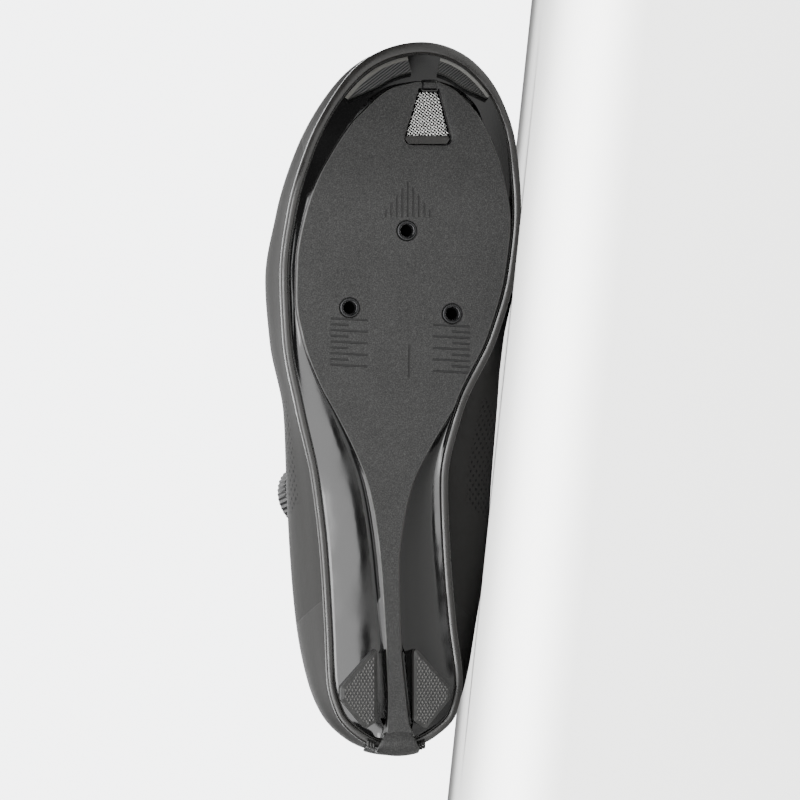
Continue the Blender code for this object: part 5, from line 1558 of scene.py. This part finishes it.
# Lace guides
# Low nylon guides are sewn to both eyestays: three on the lateral side and four on the medial side. The
# lace runs through a groove round each one's outer edge.
GUIDES_ALONG = (0.45, 0.53, 0.61)
DIAL_GUIDE_ALONG = 0.385
GUIDE_LENGTH = 9 * MM
GUIDE_WIDTH = 6 * MM
GUIDE_HEIGHT = 2.6 * MM
GUIDE_SETBACK = 6 * MM
GUIDE_ROWS = [(1.12, -0.5), (1.10, 0.45), (1.0, 0.6), (0.93, 0.95), (0.90, 1.35), (0.95, 1.75),
              (1.0, 2.05), (0.96, 2.4), (0.84, 2.6), (0.45, 2.75)]
guides = {}
corners = [Vector((GUIDE_LENGTH / 2 * i, GUIDE_WIDTH / 2 * j))
           for i, j in ((-1, -1), (1, -1), (1, 1), (-1, 1))]
guide_plan = rounded(corners, [GUIDE_WIDTH / 3] * 4)
for side in ("lateral", "medial"):
    out = -1 if side == "lateral" else 1
    shares = GUIDES_ALONG if side == "lateral" else (DIAL_GUIDE_ALONG,) + GUIDES_ALONG
    for n, share in enumerate(shares):
        x = share * LENGTH
        spot = Vector((x, centre_line(x) + out * (open_halves[side](x) + GUIDE_SETBACK)))
        seat, axis = seat_on(spot, DIAL_DIAMETER / 4)
        aside = axis.cross(Vector((1, 0, 0))).normalized()
        ahead = aside.cross(axis)
        body = Skin()
        rings = []
        for grow, height in GUIDE_ROWS:
            ring = []
            for p in guide_plan:
                spot = seat + ahead * p.x * grow + aside * p.y * grow
                found, _, _, _ = over.ray_cast(spot + axis * DIAL_DIAMETER, -axis)
                low = (found - seat).dot(axis) if found and (found - spot).length < 3 * MM else 0.0
                blend = min(max(height / 2.0, 0.0), 1.0)
                ring.append(spot + axis * (low * (1 - blend) + height * MM))
            rings.append(ring)
        firsts = body.rings(rings, 0)
        body.face([firsts[-1] + k for k in range(len(guide_plan))], 0)
        piece = link(f"guide_body_{side}_{n + 1}", body.vertices, body.faces, [nylon.material])
        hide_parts(f"guide_{side}_{n + 1}")
        guides[side, share] = (seat, axis, ahead, aside)

# Lace
# One steel lace in a braided sleeve leaves the dial, crosses the tongue and runs from guide to guide.
# It is drawn tight, and ends at the foremost lateral guide.
CORD_DIAMETER = 1.4 * MM
CORD_CLEARANCE = 0.3 * MM
LACE_HEIGHT = 1.35 * MM
lace = Finish("braided_lace", (0.022, 0.022, 0.022), 0.5)
lace.wear({"Normal": lace.relief(lace.noise(0.5 * MM, 1.0, (2.0, 1, 1)), 0.15 * MM)})
over_tongue = surface(tongue)


def crossing(start, end, points):
    """Lace from one fitting to the other, drawn tight over upper and tongue."""
    path = []
    for i in range(points + 1):
        spot = start.lerp(end, i / points)
        heights = [spot.z]
        for tree in (over, over_tongue):
            hit, _, _, _ = tree.ray_cast(Vector((spot.x, spot.y, LENGTH)), Vector((0, 0, -1)))
            if hit and 0 < i < points:
                heights.append(hit.z + CORD_DIAMETER / 2 + CORD_CLEARANCE)
        path.append(Vector((spot.x, spot.y, max(heights))))
    for i in range(1, points):
        for a in range(i):
            for b in range(i + 1, points + 1):
                chord = path[a].z + (path[b].z - path[a].z) * (i - a) / (b - a)
                path[i].z = max(path[i].z, chord)
    return path


def round_guide(side, share):
    """Lace round the outer edge of a guide, from one of its ends to the other."""
    seat, axis, ahead, aside = guides[side, share]
    out = aside if aside.y * (-1 if side == "lateral" else 1) > 0 else -aside
    half_long, half_wide = GUIDE_LENGTH / 2, GUIDE_WIDTH / 2
    path = []
    for n in range(13):
        angle = math.pi * n / 12
        along = -math.cos(angle)
        path.append(seat + ahead * half_long * along + out * half_wide * (math.sin(angle) * 1.5 - 0.5)
                    + axis * LACE_HEIGHT)
    return path


wound = Skin()
dial_side = dial_seat + dial_axis * (dial_top - 0.6 * DIAL_BASE_HEIGHT)
first_guide = round_guide("medial", DIAL_GUIDE_ALONG)
toward = (first_guide[0] - dial_side).normalized()
path = crossing(dial_side + toward * (base_radius + 0.5 * MM), first_guide[0], 24) + first_guide[1:]
turns = [("medial", 0), ("lateral", 0), ("lateral", 1), ("medial", 1), ("medial", 2), ("lateral", 2)]
for side, n in turns:
    loop = round_guide(side, GUIDES_ALONG[n])
    path += crossing(path[-1], loop[0], 20)[1:-1] + loop
tube(wound, path, CORD_DIAMETER / 2, 10, 0)
lace_piece = link("lace", wound.vertices, wound.faces, [lace.material], None, 60)
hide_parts("cord_bar_1", "cord_bar_2", "cord_bar_3", "cord_bar_4")

# Heel
# A glossy moulded tab is bonded up the back of the heel. Where it meets the sole, the keel flares into
# a short bridge with a seam, and a ribbed rubber nub stands out on each side of it.
HEEL_TAB_THICKNESS = 1.1 * MM
HEEL_TAB_STATIONS = 5
tab_finish = Finish("moulded_tab", (0.010, 0.010, 0.010), 0.6, {"Specular IOR Level": 0.14})
tab_finish.patchy(5 * MM, 0.55, 0.68)
ks = list(range(-HEEL_TAB_STATIONS, HEEL_TAB_STATIONS + 1))
tab_rows = []
for r in range(2, 12):
    share = max(r - 6, 0) / 6
    reach = HEEL_TAB_STATIONS * math.sqrt(1 - 0.75 * share ** 2) * 0.95
    row = []
    for k in ks:
        place = k * reach / HEEL_TAB_STATIONS
        low = math.floor(place)
        row.append(columns[low][r].lerp(columns[low + 1][r], place - low))
    tab_rows.append(row)
tab_points = [v for row in tab_rows for v in row]
tab_faces, tab_uvs = [], []
for r in range(len(tab_rows) - 1):
    for c in range(len(ks) - 1):
        corners = [(r, c), (r, c + 1), (r + 1, c + 1), (r + 1, c)]
        tab_faces.append([a * len(ks) + b for a, b in corners])
        tab_uvs.append([(a / 20, b / 20) for a, b in corners])
heel_tab = padded_sheet("heel_tab_moulded", tab_points, tab_faces, [HEEL_TAB_THICKNESS] * len(tab_points),
                        tab_uvs, [tab_finish.material, tab_finish.material], 0,
                        -HEEL_TAB_THICKNESS - 0.05 * MM, 4)
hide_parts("heel_tab")

BRIDGE_ROWS = table("x  rise", [
    (10.0, 0.10),
    (6.6, -0.02),
    (4.8, -0.06),
    (3.4, 0.35),
    (2.5, 1.00),
    (1.9, 2.10),
    (1.6, 3.60),
    (1.55, 5.50),
    (1.6, 7.60),
])
BRIDGE_LATERAL = -7.3 * MM
BRIDGE_MEDIAL = 6.9 * MM
HEEL_RADIUS = 24 * MM
BRIDGE_COLUMNS = 15
BRIDGE_SEAM = 5.6
BRIDGE_SKIN = 1.4 * MM
bridge_points, bridge_faces = [], []
for x_mm, rise_mm in zip(BRIDGE_ROWS["x"], BRIDGE_ROWS["rise"]):
    for c in range(BRIDGE_COLUMNS):
        flare = min(1.0, 1.12 - 0.05 * x_mm)
        y = (BRIDGE_LATERAL + (BRIDGE_MEDIAL - BRIDGE_LATERAL) * c / (BRIDGE_COLUMNS - 1)) * flare
        bow = y * y / 2 / HEEL_RADIUS * min(1.0, (BRIDGE_SEAM - x_mm) / 3)
        x = x_mm * MM + bow
        bridge_points.append(Vector((x, y, plate_height(BRIDGE_SEAM * MM) + rise_mm * MM)))
for r in range(len(BRIDGE_ROWS["x"]) - 1):
    for c in range(BRIDGE_COLUMNS - 1):
        a = r * BRIDGE_COLUMNS + c
        bridge_faces.append([a + 1, a + BRIDGE_COLUMNS + 1, a + BRIDGE_COLUMNS, a])
bridge_thickness = [0.1 * MM if n < BRIDGE_COLUMNS else BRIDGE_SKIN for n in range(len(bridge_points))]
heel_bridge = padded_sheet("heel_bridge", bridge_points, bridge_faces, bridge_thickness,
                           [[(0.0, 0.0)] * 4] * len(bridge_faces), [composite.material, composite.material],
                           0, 0.0, 4)

NUB_RIBS = 3
NUB_PITCH = 1.0
NUB_RADIUS = 0.5 * MM
NUB_RISE = 3.6 * MM
NUB_PATH = [(2.0, 2.2), (1.0, 0.9), (-0.1, 0.7), (-0.8, 1.3), (-0.9, 2.4)]
for name, y_mm in (("heel_nub_lateral", -9.9), ("heel_nub_medial", 8.9)):
    nub = Skin()
    for n in range(NUB_RIBS):
        y = (y_mm + (n - 1) * NUB_PITCH) * MM
        x = 2.0 * MM + y * y / 2 / HEEL_RADIUS
        path = [Vector((x + dx * MM, y, plate_height(0) + NUB_RISE + rise * MM)) for dx, rise in NUB_PATH]
        tube(nub, path, NUB_RADIUS, 8, 0, Vector((0, 1, 0)))
    piece = link(name, nub.vertices, nub.faces, [rubber.material])

# Last update
# The view layer is brought up to date once every piece is in place.
bpy.context.view_layer.update()
